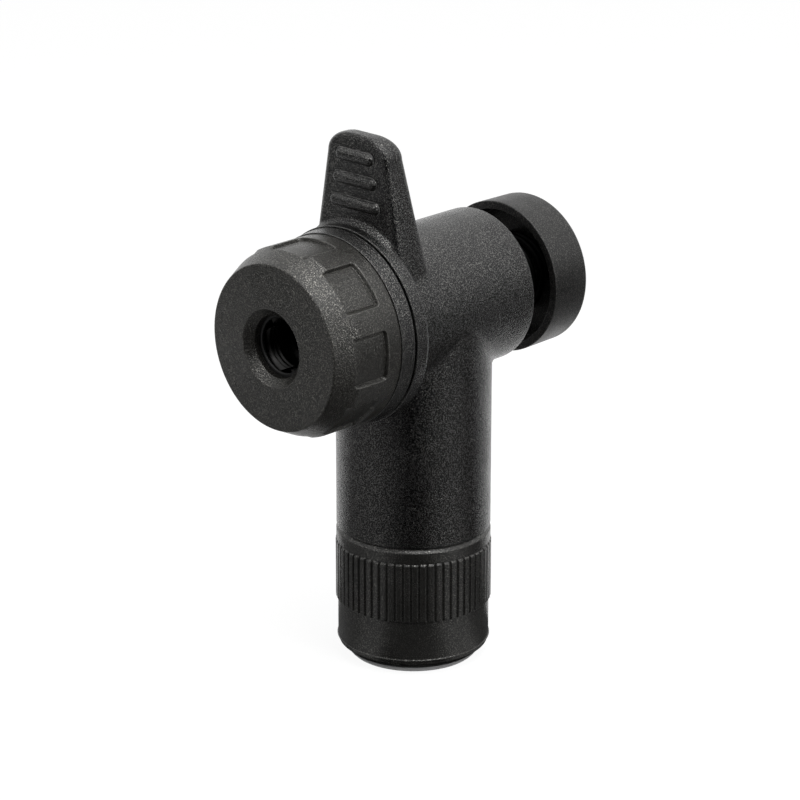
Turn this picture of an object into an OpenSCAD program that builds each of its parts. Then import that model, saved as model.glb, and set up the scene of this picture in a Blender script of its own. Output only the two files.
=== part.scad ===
// Quick-release head of a portable tire inflator.
// A T-shaped moulded body carries a hose neck below, a finger tab on top, a sprung button
// behind and a screw cap in front. Pressing the button pushes a wedge sleeve between three
// threaded jaws and opens them; letting go lets a garter spring close them on the valve.
// Frame: +Z up along the neck, the valve opening faces -Y, origin at the mouth of the hose port.

/* [Body: barrel and neck] */
// Height of the barrel axis above the foot
axis_height = 52.1; // [48:0.1:60]
// Outer radius of the barrel
barrel_r = 11.05; // [11.05:0.05:11.5]
// Wall of the barrel around its two chambers
barrel_wall = 1.4; // [1.1:0.05:1.6]
// Step from the barrel's radius down to the neck's
neck_step = 0.05; // [0.05:0.05:0.4]
// Height of the neck's lower edge above the foot
neck_bottom = 19.5; // [19:0.1:24]
// Reach of the fillet between barrel and neck
fillet_reach = 1.9; // [1:0.1:2.4]
// Plain rim of the barrel behind the fillet
back_rim = 0.1; // [0.1:0.1:3]
// Radius of the air channel
air_r = 2.4; // [1.8:0.1:2.6]
// Front face of the inner web, forward of the neck axis
web_front = 6.0; // [5.4:0.1:6.6]
// Back face of the inner web, behind the neck axis
web_back = 3.4; // [3.2:0.1:3.6]

/* [Body: flange and finger tab] */
// Height of the flange above the barrel
flange_step = 2.85; // [2.6:0.05:3.2]
// Back face of the flange, forward of the neck axis
flange_back = 11.0; // [10.8:0.1:11.4]
// Thickness of the flange
flange_t = 2.65; // [2.2:0.05:3]
// Height of the tab's tip above the barrel axis
tab_top = 26.4; // [25:0.1:28]
// Front face of the tab, forward of the neck axis
tab_front = 11.5; // [11:0.1:12.4]
// Thickness of the tab at its shoulder
tab_t = 3.9; // [3.6:0.1:5]
// Half width of the tab at its shoulder
tab_half = 5.9; // [4.6:0.1:6.2]
// Gain of half width for each millimetre down the tab
tab_taper = 0.17; // [0.1:0.01:0.2]
// Height of the tip's rounding
tab_round = 3.0; // [2:0.1:4]
// Radius of the tab's long edges
tab_edge = 1.4; // [0.6:0.1:1.7]
// Radius of the fillet where the tab's back and flanks run into barrel and flange
tab_fillet = 0.8; // [0.5:0.1:1.4]
// Radius of the fillet where the tab's front runs into the flange
front_fillet = 1.3; // [0.6:0.1:1.6]
// Number of grip ribs
rib_count = 3; // [1:1:4]
// Height of the top rib above the barrel axis
rib_top = 23.4; // [22:0.1:24]
// Distance from rib to rib
rib_pitch = 3.3; // [2.4:0.1:3.4]
// Radius of a grip rib
rib_r = 0.95; // [0.5:0.05:1.1]
// Half length of the top rib, without its round ends
rib_half = 2.6; // [2:0.05:3]

/* [Jaw cage] */
// Step from the flange's radius down to the ring that shows
ring_step = 0.2; // [0.1:0.05:0.4]
// Width of the ring that shows
ring_w = 1.9; // [1.5:0.1:2.4]
// Wall of the cage's threaded sleeve around the body's nose
cage_wall = 1.25; // [1.1:0.05:1.4]
// Thickness of the cage floor behind the jaws
cage_floor = 1.1; // [0.8:0.1:1.3]
// Thickness of the flange gasket
gasket_t = 0.3; // [0.2:0.05:0.5]
// Step from the flange's radius down to the gasket's
gasket_step = 1.0; // [0.6:0.1:1.2]
// Wall of the body's nose that the cage screws onto
nose_wall = 0.65; // [0.6:0.05:0.8]

/* [Jaws] */
// Number of jaws
jaw_count = 3; // [3]
// Radius of the closed grip
grip_r = 3.55; // [3.5:0.01:3.65]
// Length of a jaw along the barrel
jaw_len = 6.15; // [6.15:0.05:6.4]
// Width of a jaw
jaw_w = 5.9; // [5.4:0.05:6]
// Radius over the backs of the closed jaws
jaw_r = 8.6; // [8.2:0.1:8.8]
// Outward travel of each jaw
jaw_travel = 0.5; // [0.4:0.05:0.6]
// Pitch of the valve thread
thread_pitch = 0.794; // [0.7:0.01:0.9]
// Depth of the thread grooves
thread_depth = 0.3; // [0.15:0.05:0.4]
// Wire radius of the garter spring
garter_wire = 0.5; // [0.3:0.05:0.55]

/* [Front cap] */
// Step from the ring's radius down to the cap's
cap_step = 0.4; // [0.2:0.05:0.5]
// Length of the cap
cap_len = 11.7; // [11.4:0.1:12.4]
// Thickness of the cap's front wall
cap_wall = 2.05; // [1.8:0.05:2.4]
// Radius of the valve hole
hole_r = 4.35; // [4.3:0.01:4.6]
// Radius of the hole's countersink at the face
sink_r = 5.5; // [5:0.1:6.5]
// Depth of the countersink
sink_depth = 1.15; // [0.8:0.05:1.2]
// Length of the front taper
taper_len = 2.8; // [1.5:0.1:3.2]
// Step from the cap's radius down to the edge of its face
face_step = 1.75; // [1.2:0.05:2.2]
// Radius of the rounding between taper and face
face_edge = 1.1; // [0.3:0.1:1.5]
// Rise of the slightly domed face
face_dome = 0.4; // [0.2:0.05:0.6]
// Number of grip recesses
recess_count = 8; // [4:1:12]
// Angle that a grip recess covers
recess_angle = 30; // [14:1:30]
// Depth of a grip recess
recess_depth = 0.4; // [0.3:0.05:0.6]
// Length of the bevel that brings the lands between the recesses down to the taper
land_bevel = 0.9; // [0.4:0.1:1.4]
// Width of the plain rim behind the recesses
recess_rim = 2.7; // [2:0.1:4]
// Thickness of the slip ring behind the front wall
slip_t = 0.5; // [0.4:0.05:0.6]

/* [Release button] */
// Travel of the button
button_travel = 4.0; // [3:0.1:4]
// Step from the barrel's radius down to the button's
button_step = 0.05; // [0.05:0.05:0.4]
// Gap left between button and barrel at full press
button_stop = 1.0; // [0.3:0.1:1.2]
// Length of the button
button_len = 6.5; // [6.4:0.1:9]
// Wall of the button's skirt
button_wall = 0.8; // [0.6:0.05:1.2]
// Depth of the button's cup
cup_depth = 4.2; // [3.6:0.1:4.6]
// Radius of the push rod
rod_r = 2.5; // [2.2:0.05:2.8]
// Radius of the two push pins
pin_r = 1.4; // [1.2:0.05:1.5]
// Radius of a screw's shank
screw_r = 0.8; // [0.7:0.05:0.9]
// Room between a pin screw's head and the wedge sleeve or the edge of its flange
screw_room = 0.4; // [0.3:0.05:0.6]
// Height of a screw's head
screw_head_t = 1.0; // [0.8:0.05:1.1]
// Length of thread that a screw grips
screw_grip = 2.6; // [2:0.1:3]
// Thickness of the yoke
yoke_t = 1.5; // [1.3:0.1:1.6]
// Thickness of the rod guide
guide_t = 2.2; // [1.8:0.1:2.4]
// Mean radius of the return spring
spring_r = 5.4; // [5:0.1:6.5]
// Wire radius of the return spring
spring_wire = 0.45; // [0.3:0.05:0.5]
// Number of turns of the return spring
spring_turns = 5; // [4:1:6]

/* [Wedge sleeve and air spout] */
// Inner radius of the wedge sleeve
wedge_in = 4.45; // [4.4:0.01:4.5]
// Wall of the wedge sleeve at its tip
wedge_tip_t = 0.4; // [0.3:0.05:0.45]
// Length of the wedge sleeve in front of its flange
wedge_len = 7.75; // [7.5:0.05:8.2]
// Thickness of the wedge sleeve's flange
wedge_flange = 1.5; // [1.2:0.1:1.8]
// Outer radius of the air spout
spout_r = 4.3; // [4:0.05:4.35]
// Radius of the spout's thread
spout_thread_r = 3.3; // [3:0.05:3.4]
// Thickness of the valve seal
seal_t = 1.0; // [0.6:0.1:1.2]
// Radius of the core pin
core_pin_r = 0.7; // [0.5:0.05:0.8]

/* [Hose end] */
// Height of the nut's knurl above the neck
knurl_step = 0.13; // [0.05:0.01:0.3]
// Number of knurl ribs
knurl_count = 60; // [40:1:72]
// Depth of the knurl
knurl_depth = 0.3; // [0.15:0.05:0.4]
// Length of the knurl
knurl_len = 8.95; // [6:0.05:10]
// Width of the smooth band above the knurl
band_w = 2.2; // [1.6:0.1:3]
// Step from the knurl down to the nut's smooth lower part
nut_low_step = 0.38; // [0.1:0.01:0.6]
// Step from the neck's radius down to its thread inside the nut
thread_step = 1.3; // [1.2:0.05:1.5]
// Pitch of the nut's thread, its travel in one turn
nut_pitch = 1.5; // [1:0.1:1.5]
// Height of the foot ring that shows below the nut
foot_h = 1.6; // [1.6:0.05:2]
// Step from the nut's lower part down to the foot ring
foot_step = 1.45; // [1.4:0.05:1.8]
// Height of the nut's inner lip that holds the collet
lip_t = 1.6; // [1.2:0.1:2]
// Thickness of the collet's collar
collar_t = 1.4; // [1:0.1:1.8]
// Outer radius of the hose that the port takes
hose_r = 5.0; // [4.6:0.05:5.1]
// Inner radius of the hose
hose_in = 3.0; // [2.8:0.05:3.2]
// Number of barbs
barb_count = 3; // [2:1:4]
// Distance from barb to barb
barb_pitch = 2.6; // [2:0.1:2.8]
// Length of the barb's body in its socket
barb_body_len = 7.9; // [6:0.1:8]
// Length of the collet's clamping fingers
finger_len = 2.8; // [2:0.1:3]
// Wire radius of the O-rings
o_ring_wire = 0.45; // [0.35:0.05:0.5]

/* [Clearances] */
// Radial play of running fits
run = 0.08; // [0.05:0.01:0.1]
// Radial play of fixed threads and sockets
seat = 0.05; // [0.02:0.01:0.08]
// Gap between flat faces that meet at rest
rest_gap = 0.1; // [0.05:0.01:0.15]
// Gap between the sliding discs and the barrel's bore
disc_gap = 0.3; // [0.2:0.05:0.4]
// Room left at the end of a blind hole
blind_gap = 0.4; // [0.2:0.1:0.6]

/* [Hidden] */
$fn = 96;
eps = 0.01;

// Stations along the barrel, forward of the neck axis
neck_r = barrel_r - neck_step;
barrel_back = neck_r + fillet_reach + back_rim;
flange_front = flange_back + flange_t;
ring_back = flange_front + gasket_t;
ring_front = ring_back + ring_w;
cap_back = ring_front + rest_gap / 2;
cap_front = cap_back + cap_len;
cap_inner = cap_front - cap_wall;
slip_front = cap_inner - rest_gap / 2;
slip_back = slip_front - slip_t;
cage_front = slip_back - rest_gap;
jaw_front = cage_front - rest_gap / 2;
jaw_back = jaw_front - jaw_len;
floor_front = jaw_back - rest_gap;
floor_back = floor_front - cage_floor;
nose_front = floor_back - rest_gap;
wedge_tip = jaw_back + rest_gap / 2;
wedge_front = wedge_tip - wedge_len;
wedge_back = wedge_front - wedge_flange;
spout_front = wedge_tip - 0.75 * seal_t;
yoke_front = -(web_back + button_travel + 1.5 * rest_gap);
yoke_back = yoke_front - yoke_t;
guide_front = yoke_back - rest_gap;
guide_back = guide_front - guide_t;
skirt_front = -(barrel_back + button_travel + button_stop);
cup_floor = skirt_front - cup_depth;
button_back = skirt_front - button_len;

// Radii along the barrel
flange_r = barrel_r + flange_step;
ring_r = flange_r - ring_step;
cap_r = ring_r - cap_step;
face_r = cap_r - face_step;
button_r = barrel_r - button_step;
bore_r = barrel_r - barrel_wall;
disc_r = bore_r - disc_gap;
nose_r = bore_r + nose_wall;
cage_r = nose_r + seat + cage_wall;
wedge_r = wedge_in + wedge_tip_t + jaw_travel + 0.2;
wedge_slope = jaw_travel / button_travel;
pin_offset = (wedge_r + disc_r) / 2;
screw_head_r = (disc_r - wedge_r) / 2 - screw_room;
cage_in = wedge_r + run;
cap_in = cage_r + run;
slot_r = jaw_r + jaw_travel + 0.9;
garter_r = jaw_r + garter_wire + seat;
garter_at = (jaw_front + jaw_back) / 2;
recess_r = cap_r - recess_depth;
core_flange_r = 2.3;
core_flange_t = 0.6;
core_seat = 1.2;
core_reach = 0.6;
spoke_hole_r = 0.5;

// Radii and heights at the hose end
knurl_r = neck_r + knurl_step;
nut_low_r = knurl_r - nut_low_step;
neck_thread_r = neck_r - thread_step;
foot_r = nut_low_r - foot_step;
nut_top = neck_bottom - rest_gap;
nut_bottom = foot_h;
lip_top = nut_bottom + lip_t;
washer_t = 0.5;
washer_bottom = lip_top + rest_gap / 2;
collar_bottom = washer_bottom + washer_t + rest_gap / 2;
collar_top = collar_bottom + collar_t;
spigot_bottom = collar_top + 3 * rest_gap;
finger_top = spigot_bottom + finger_len;
socket_bottom = neck_bottom + lip_t;
socket_depth = barb_body_len + 2 * o_ring_wire + seat;
barb_top = socket_bottom + barb_body_len;
barb_tip = finger_top + 0.5;
hose_bore_r = hose_r + 0.1;
nut_bore_r = neck_thread_r + run;
knurl_bottom = nut_top - band_w - knurl_len;
collet_skirt_r = foot_r - 1.3;

// Lays local +Z along the barrel towards the valve opening, local +Y up
module on_axis() {
    translate([0, 0, axis_height]) rotate([90, 0, 0]) children();
}

// A solid of revolution about the barrel axis from [radius, forward] points
module turned(points) {
    on_axis() rotate_extrude() polygon(points);
}

// A plain cylinder on the barrel axis from one station to another
module axis_cylinder(r, from, to) {
    on_axis() translate([0, 0, from]) cylinder(r = r, h = to - from);
}

// What is given, at both push pins
module both_pins() {
    on_axis() for (x = [-pin_offset, pin_offset]) translate([x, 0, 0]) children();
}

// Points of an arc about [cx, cy]
function arc(cx, cy, r, from, to, steps = 6) =
    [for (i = [0:steps]) let (a = from + (to - from) * i / steps) [cx + r * cos(a), cy + r * sin(a)]];

// Side triangles and flat end caps that join rings of n points each into a closed solid
function loft_faces(n, rings) = concat(
    [for (j = [0:rings - 2], i = [0:n - 1]) [j * n + i, j * n + (i + 1) % n, (j + 1) * n + (i + 1) % n]],
    [for (j = [0:rings - 2], i = [0:n - 1]) [j * n + i, (j + 1) * n + (i + 1) % n, (j + 1) * n + i]],
    [[for (i = [n - 1:-1:0]) i]],
    [[for (i = [0:n - 1]) (rings - 1) * n + i]]
);

// ---- Finger tab: a tapered post with rounded edges and tip. Its foot flares out along a quarter
// circle and lands on the barrel and the flange, so that the three run into one another ----
tab_shoulder = tab_top - tab_round;
tab_lean = 0.13;
tab_sunk = 4.4;
tip_draw_side = 0.72 * tab_half;
tip_draw_back = 0.48 * tab_t;
tip_draw_front = 0.19 * tab_t;
tab_corner_steps = 6;
tab_fillet_steps = 6;
tab_wall_steps = 6;
tab_tip_steps = 6;

// How far the outline has drawn in at a height, from 0 at the shoulder to 1 at the tip
function tab_inset(h) = h <= tab_shoulder ? 0 : 1 - sqrt(max(0, 1 - pow((h - tab_shoulder) / tab_round, 2)));
function tab_below(h) = max(0, tab_shoulder - h);
function tab_half_at(h) = tab_half + tab_taper * tab_below(h) - tip_draw_side * tab_inset(h);
function tab_back_at(h) = tab_front - tab_t - tab_lean * tab_below(h) + tip_draw_back * tab_inset(h);
function tab_front_at(h) = tab_front - tip_draw_front * tab_inset(h);
function tab_edge_at(h) = tab_edge * (1 - 0.6 * tab_inset(h));

// Outline points at a height as [x, forward, direction], moved outwards by grow
function tab_outline(h, grow) =
    let (w = tab_half_at(h), back = tab_back_at(h), front = tab_front_at(h), c = tab_edge_at(h))
    [for (q = [0:3], i = [0:tab_corner_steps])
        let (a = 90 * q + 90 * i / tab_corner_steps,
             x = (q == 0 || q == 3) ? w - c : c - w,
             f = (q < 2) ? front - c : back + c)
        [x + (c + grow) * cos(a), f + (c + grow) * sin(a), a]];

// Radius of the turned surface under the tab: the barrel, rising smoothly to the flange
function ramp(t) = let (k = max(0, min(1, t))) k * k * (3 - 2 * k);
function under_r(f) = barrel_r + flange_step * ramp((f - flange_back + 0.9) / 1.8);
function under_height(x, f) = sqrt(max(0.01, pow(under_r(f), 2) - x * x));
function fillet_at(a) = tab_fillet + (front_fillet - tab_fillet) * max(0, sin(a));

// Height at which the fillet of outline point i starts, settled by going round twice
function fillet_start(i, h, rounds) =
    let (p = tab_outline(h, 0)[i], next = under_height(p[0], p[1]) + fillet_at(p[2]))
    rounds == 0 ? next : fillet_start(i, next, rounds - 1);

module finger_tab() {
    count = 4 * (tab_corner_steps + 1);
    starts = [for (i = [0:count - 1]) fillet_start(i, barrel_r, 3)];
    sunk = [for (p = tab_outline(tab_sunk + 4, -0.4)) [p[0], tab_sunk, p[1]]];
    flare = [for (j = [tab_fillet_steps:-1:1]) [for (i = [0:count - 1])
        let (turn = 90 * j / tab_fillet_steps, r = fillet_at(tab_outline(starts[i], 0)[i][2]),
             p = tab_outline(starts[i], r * (1 - cos(turn)))[i])
        [p[0], under_height(p[0], p[1]) + r * (1 - sin(turn)) - 0.05 * j / tab_fillet_steps, p[1]]]];
    wall = [for (j = [0:tab_wall_steps]) [for (i = [0:count - 1])
        let (h = starts[i] + (tab_shoulder - starts[i]) * j / tab_wall_steps, p = tab_outline(h, 0)[i])
        [p[0], h, p[1]]]];
    tip = [for (j = [1:tab_tip_steps]) let (h = tab_shoulder + tab_round * sin(90 * j / tab_tip_steps))
        [for (p = tab_outline(h, 0)) [p[0], h, p[1]]]];
    rings = concat([sunk], flare, wall, tip);
    points = [for (ring = rings) for (p = ring) p];
    polyhedron(points, loft_faces(count, len(rings)));
}

// Round-ended rib lying across the front of the tab
module grip_rib(height, half) {
    translate([0, height, tab_front - 0.5 * rib_r]) rotate([0, 90, 0])
        rotate_extrude() polygon(concat(arc(0, half, rib_r, 90, 0), arc(0, -half, rib_r, 0, -90)));
}

// Concave fillet in the corner of barrel and neck: it shrinks with the depth of the corner
// and vanishes at the sides, where the two cylinders are tangent
module corner_fillet() {
    k = fillet_reach / neck_r;
    angles = [for (i = [0:20]) -84 + 8.4 * i];
    section = concat(arc(1 + k, -1 - k, k, 98, 172), [[0.97, -0.97]]);
    rings = [for (a = angles)
        let (h = neck_r * cos(a)) [for (p = section) [neck_r * sin(a), h * p[0], h * p[1]]]];
    points = [for (ring = rings) for (p = ring) p];
    translate([0, 0, axis_height]) polyhedron(points, loft_faces(len(rings[0]), len(rings)));
}

module body() {
    edge = 0.3;
    flange_edge = 0.9;
    color([0.09, 0.09, 0.1]) difference() {
        union() {
            turned([[0, -barrel_back], [barrel_r - edge, -barrel_back], [barrel_r, edge - barrel_back],
                [barrel_r, flange_back], [0, flange_back]]);
            turned(concat([[0, flange_back]],
                arc(flange_r - flange_edge, flange_back + flange_edge, flange_edge, 270, 360, 4),
                [[flange_r, flange_front - 0.15], [flange_r - 0.15, flange_front], [0, flange_front]]));
            axis_cylinder(nose_r, flange_front - eps, nose_front);
            translate([0, 0, neck_bottom]) cylinder(r = neck_r, h = axis_height - neck_bottom - 0.8);
            translate([0, 0, spigot_bottom])
                cylinder(r = neck_thread_r, h = neck_bottom - spigot_bottom + eps);
            on_axis() finger_tab();
            on_axis() for (i = [0:rib_count - 1])
                grip_rib(rib_top - i * rib_pitch, rib_half + i * rib_pitch * tab_taper);
            corner_fillet();
            mirror([0, 1, 0]) corner_fillet();
        }
        axis_cylinder(bore_r, web_front, nose_front + 1);
        axis_cylinder(bore_r, -barrel_back - 1, -web_back);
        axis_cylinder(spout_thread_r + seat, 0, web_front + 1);
        both_pins() translate([0, 0, -web_back - 1])
            cylinder(r = pin_r + run, h = web_back + web_front + 2);
        translate([0, 0, socket_bottom]) cylinder(r = air_r, h = axis_height - socket_bottom);
        translate([0, 0, socket_bottom - eps]) cylinder(r = 1.5 * hose_in + seat, h = socket_depth);
        translate([0, 0, spigot_bottom - 1]) cylinder(r = hose_bore_r, h = socket_bottom - spigot_bottom + 1);
        translate([0, 0, spigot_bottom - eps])
            cylinder(r1 = hose_bore_r + 0.7 * finger_len, r2 = hose_bore_r, h = finger_len + 0.6);
    }
}

// Directions of the jaws round the barrel axis, from +X towards up
jaw_angles = [for (i = [0:jaw_count - 1]) 90 + i * 360 / jaw_count];

module jaw_cage() {
    color([0.09, 0.09, 0.1]) difference() {
        turned([[nose_r + seat, ring_back], [ring_r - 0.12, ring_back], [ring_r, ring_back + 0.12],
            [ring_r, ring_front - 0.12], [ring_r - 0.12, ring_front], [cage_r, ring_front],
            [cage_r, cage_front], [cage_in, cage_front], [cage_in, floor_back], [nose_r + seat, floor_back]]);
        for (a = jaw_angles)
            on_axis() rotate([0, 0, a]) translate([0, -jaw_w / 2 - seat, floor_front])
                cube([slot_r, jaw_w + 2 * seat, jaw_len + 2]);
        turned([[jaw_r - 0.2, garter_at - garter_wire - seat], [slot_r, garter_at - garter_wire - seat],
            [slot_r, garter_at + garter_wire + seat], [jaw_r - 0.2, garter_at + garter_wire + seat]]);
    }
}

module flange_gasket() {
    color([0.03, 0.03, 0.03])
        turned([[nose_r + seat, flange_front], [flange_r - gasket_step, flange_front],
            [flange_r - gasket_step, ring_back], [nose_r + seat, ring_back]]);
}

module front_cap() {
    taper_front = cap_front - face_dome;
    taper_back = taper_front - taper_len;
    taper_angle = atan((recess_r - face_r) / taper_len);
    face_angle = 90 - atan(face_dome / (face_r - sink_r));
    middle = (taper_angle + face_angle) / 2;
    reach = face_edge / cos(face_angle - middle);
    edge_at = [face_r - reach * cos(middle), taper_front - reach * sin(middle)];
    color([0.2, 0.2, 0.21]) difference() {
        turned(concat(
            [[cap_in, cap_back], [cap_r - 0.08, cap_back], [cap_r, cap_back + 0.08],
                [cap_r, taper_back - land_bevel], [recess_r - 0.02, taper_back]],
            arc(edge_at[0], edge_at[1], face_edge, taper_angle, face_angle),
            [[sink_r, cap_front], [hole_r, cap_front - sink_depth], [hole_r, cap_inner],
                [cap_in, cap_inner]]));
        for (i = [0:recess_count - 1])
            on_axis() rotate([0, 0, (i * 360 / recess_count) - recess_angle / 2])
                rotate_extrude(angle = recess_angle) translate([recess_r, cap_back + recess_rim])
                    square([2 * recess_depth, cap_len]);
    }
}

module cap_slip_ring() {
    color([0.35, 0.35, 0.36])
        turned([[hole_r + 0.25, slip_back], [cap_in - 0.3, slip_back], [cap_in - 0.3, slip_front],
            [hole_r + 0.25, slip_front]]);
}

// One jaw, lying towards local +X: a block with a threaded grip in front and a wedge seat behind
module jaw(angle) {
    seat_front = wedge_tip + button_travel + 0.15;
    seat_r = wedge_in + wedge_tip_t + 2 * run;
    color([0.3, 0.3, 0.31]) on_axis() rotate([0, 0, angle]) difference() {
        intersection() {
            translate([0, -jaw_w / 2, jaw_back]) cube([jaw_r, jaw_w, jaw_len]);
            translate([0, 0, jaw_back]) cylinder(r = jaw_r, h = jaw_len);
        }
        translate([0, 0, jaw_back - 1]) cylinder(r = grip_r, h = jaw_len + 2);
        rotate_extrude() polygon([
            [0, jaw_back - 1], [seat_r + wedge_slope * (wedge_tip - jaw_back + 1), jaw_back - 1],
            [seat_r - wedge_slope * (seat_front - wedge_tip), seat_front], [0, seat_front]]);
        translate([0, 0, jaw_front - 0.6]) cylinder(r1 = grip_r, r2 = grip_r + 0.85, h = 0.6 + eps);
        for (i = [0:1]) translate([0, 0, seat_front + (i + 0.4) * thread_pitch])
            rotate_extrude() polygon([[grip_r - eps, -0.4 * thread_pitch], [grip_r + thread_depth, 0],
                [grip_r - eps, 0.4 * thread_pitch]]);
    }
}
module jaw_top() jaw(jaw_angles[0]);
module jaw_left() jaw(jaw_angles[1]);
module jaw_right() jaw(jaw_angles[2]);

module garter_spring() {
    color([0.6, 0.6, 0.62]) on_axis() translate([0, 0, garter_at])
        rotate_extrude() translate([garter_r, 0]) circle(r = garter_wire, $fn = 32);
}

module wedge_sleeve() {
    tip_r = wedge_in + wedge_tip_t;
    nose_back = wedge_tip - button_travel - 0.1;
    color([0.45, 0.45, 0.47]) difference() {
        turned([[wedge_in, wedge_back], [disc_r, wedge_back], [disc_r, wedge_front], [wedge_r, wedge_front],
            [wedge_r, nose_back], [tip_r + wedge_slope * (wedge_tip - nose_back), nose_back],
            [tip_r, wedge_tip], [wedge_in, wedge_tip]]);
        both_pins() translate([0, 0, wedge_back - 1])
            cylinder(r = screw_r + seat, h = wedge_flange + 2);
    }
}

module push_pins() {
    color([0.7, 0.7, 0.72]) both_pins() difference() {
        union() {
            translate([0, 0, yoke_front]) cylinder(r = pin_r, h = wedge_back - yoke_front);
            translate([0, 0, yoke_back]) cylinder(r = 0.7 * pin_r, h = yoke_t + eps);
        }
        translate([0, 0, wedge_back - screw_grip - blind_gap])
            cylinder(r = screw_r + seat, h = screw_grip + 1);
    }
}

module pin_screws() {
    shank = wedge_flange + screw_grip;
    color([0.75, 0.75, 0.77]) both_pins() translate([0, 0, wedge_front]) difference() {
        union() {
            cylinder(r = screw_head_r, h = screw_head_t);
            translate([0, 0, -shank]) cylinder(r = screw_r, h = shank + eps);
        }
        translate([0, 0, 0.4 * screw_head_t]) cylinder(r = 0.8, h = screw_head_t, $fn = 6);
    }
}

module push_yoke() {
    color([0.45, 0.45, 0.47]) difference() {
        axis_cylinder(disc_r, yoke_back, yoke_front);
        axis_cylinder(screw_r + seat, yoke_back - 1, yoke_front + 1);
        on_axis() translate([0, 0, yoke_front - screw_head_t])
            cylinder(r1 = screw_r + seat, r2 = screw_head_r + seat, h = screw_head_t + eps);
        both_pins() translate([0, 0, yoke_back - 1]) cylinder(r = 0.7 * pin_r + seat, h = yoke_t + 2);
    }
}

module yoke_screw() {
    color([0.75, 0.75, 0.77]) on_axis() difference() {
        union() {
            translate([0, 0, yoke_front - screw_head_t])
                cylinder(r1 = screw_r, r2 = screw_head_r, h = screw_head_t);
            translate([0, 0, yoke_back - rod_grip])
                cylinder(r = screw_r, h = rod_grip + yoke_t - screw_head_t + eps);
        }
        translate([0, 0, yoke_front - 0.6]) cylinder(r = 0.6, h = 1, $fn = 6);
    }
}

module push_rod() {
    tail_r = 0.8 * rod_r;
    color([0.12, 0.12, 0.13]) on_axis() difference() {
        union() {
            translate([0, 0, cup_floor + hub_h]) cylinder(r = rod_r, h = yoke_back - cup_floor - hub_h);
            translate([0, 0, cup_floor - 1]) cylinder(r = tail_r, h = hub_h + 1 + eps);
        }
        translate([0, 0, yoke_back - rod_grip - blind_gap]) cylinder(r = screw_r + seat, h = rod_grip + 1);
    }
}

// Height of the hub that stands in the button's cup and takes the rod
hub_h = 2.4;
// Length of the yoke screw in the rod
rod_grip = 1.5 * screw_grip;

module rear_button() {
    edge = 0.7;
    cup_r = button_r - button_wall;
    color([0.16, 0.16, 0.17]) on_axis() difference() {
        rotate_extrude() polygon(concat(
            [[0, button_back]],
            arc(button_r - 0.1 - edge, button_back + edge, edge, 270, 360, 5),
            [[button_r, skirt_front - 0.15], [button_r - 0.15, skirt_front], [cup_r, skirt_front],
                [cup_r, cup_floor], [1.6 * rod_r, cup_floor], [1.6 * rod_r, cup_floor + hub_h],
                [0, cup_floor + hub_h]]));
        translate([0, 0, cup_floor - 1]) cylinder(r = 0.8 * rod_r + seat, h = hub_h + 2);
    }
}

// Open-wound helical spring of a round wire, one unbroken tube
module return_spring() {
    low = cup_floor + spring_wire + seat;
    high = guide_back - spring_wire - seat;
    steps = 8 * spring_turns;
    rings = [for (j = [0:steps])
        let (a = 360 * spring_turns * j / steps, h = low + (high - low) * j / steps)
        [for (i = [0:5]) let (b = 60 * i, r = spring_r + spring_wire * cos(b))
            [r * cos(a), r * sin(a), h + spring_wire * sin(b)]]];
    points = [for (ring = rings) for (p = ring) p];
    color([0.6, 0.6, 0.62]) on_axis() polyhedron(points, loft_faces(6, steps + 1));
}

module rod_guide() {
    color([0.12, 0.12, 0.13]) difference() {
        axis_cylinder(bore_r - seat, guide_back, guide_front);
        axis_cylinder(rod_r + seat, guide_back - 1, guide_front + 1);
        for (side = [-1, 1])
            on_axis() translate([0, side * 0.8 * bore_r, guide_back - 1]) cylinder(r = 0.8, h = 2);
    }
}

module air_spout() {
    shoulder = web_front + 2 * o_ring_wire;
    color([0.72, 0.6, 0.32]) difference() {
        turned([[0, air_r + 0.2], [spout_thread_r, air_r + 0.2], [spout_thread_r, shoulder],
            [spout_r, shoulder], [spout_r, spout_front], [0, spout_front]]);
        axis_cylinder(1.6, 0, spout_front + 1);
        axis_cylinder(core_flange_r + seat, spout_front - core_seat, spout_front + 1);
    }
}

module spout_oring() {
    ring_mean_r = spout_thread_r + o_ring_wire + seat;
    color([0.03, 0.03, 0.03]) on_axis() translate([0, 0, web_front + o_ring_wire])
        rotate_extrude() translate([ring_mean_r, 0]) circle(r = o_ring_wire, $fn = 24);
}

module valve_seal() {
    front = spout_front + seal_t;
    color([0.05, 0.05, 0.05])
        turned([[1.8, spout_front], [spout_r - 0.1, spout_front], [spout_r - 0.1, front - 0.2],
            [spout_r - 0.3, front], [1.8, front]]);
}

module core_pin() {
    back = spout_front - core_seat;
    color([0.75, 0.75, 0.77]) difference() {
        union() {
            axis_cylinder(core_flange_r, back, back + core_flange_t);
            axis_cylinder(core_pin_r, back, spout_front + seal_t + core_reach);
        }
        for (a = [0, 120, 240])
            on_axis() rotate([0, 0, a]) translate([core_pin_r + 0.8, 0, back - 1])
                cylinder(r = spoke_hole_r, h = core_flange_t + 2);
    }
}

module hose_barb() {
    color([0.72, 0.6, 0.32]) difference() {
        union() {
            translate([0, 0, socket_bottom]) cylinder(r = 1.5 * hose_in, h = barb_top - socket_bottom);
            translate([0, 0, barb_tip]) cylinder(r = hose_in - 0.1, h = socket_bottom - barb_tip + eps);
            for (i = [0:barb_count - 1]) translate([0, 0, barb_tip + i * barb_pitch])
                cylinder(r1 = hose_in - 0.15, r2 = hose_in + 0.35, h = 0.8 * barb_pitch);
        }
        translate([0, 0, barb_tip - 1]) cylinder(r = 0.6 * hose_in, h = barb_top - barb_tip + 2);
    }
}

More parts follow.
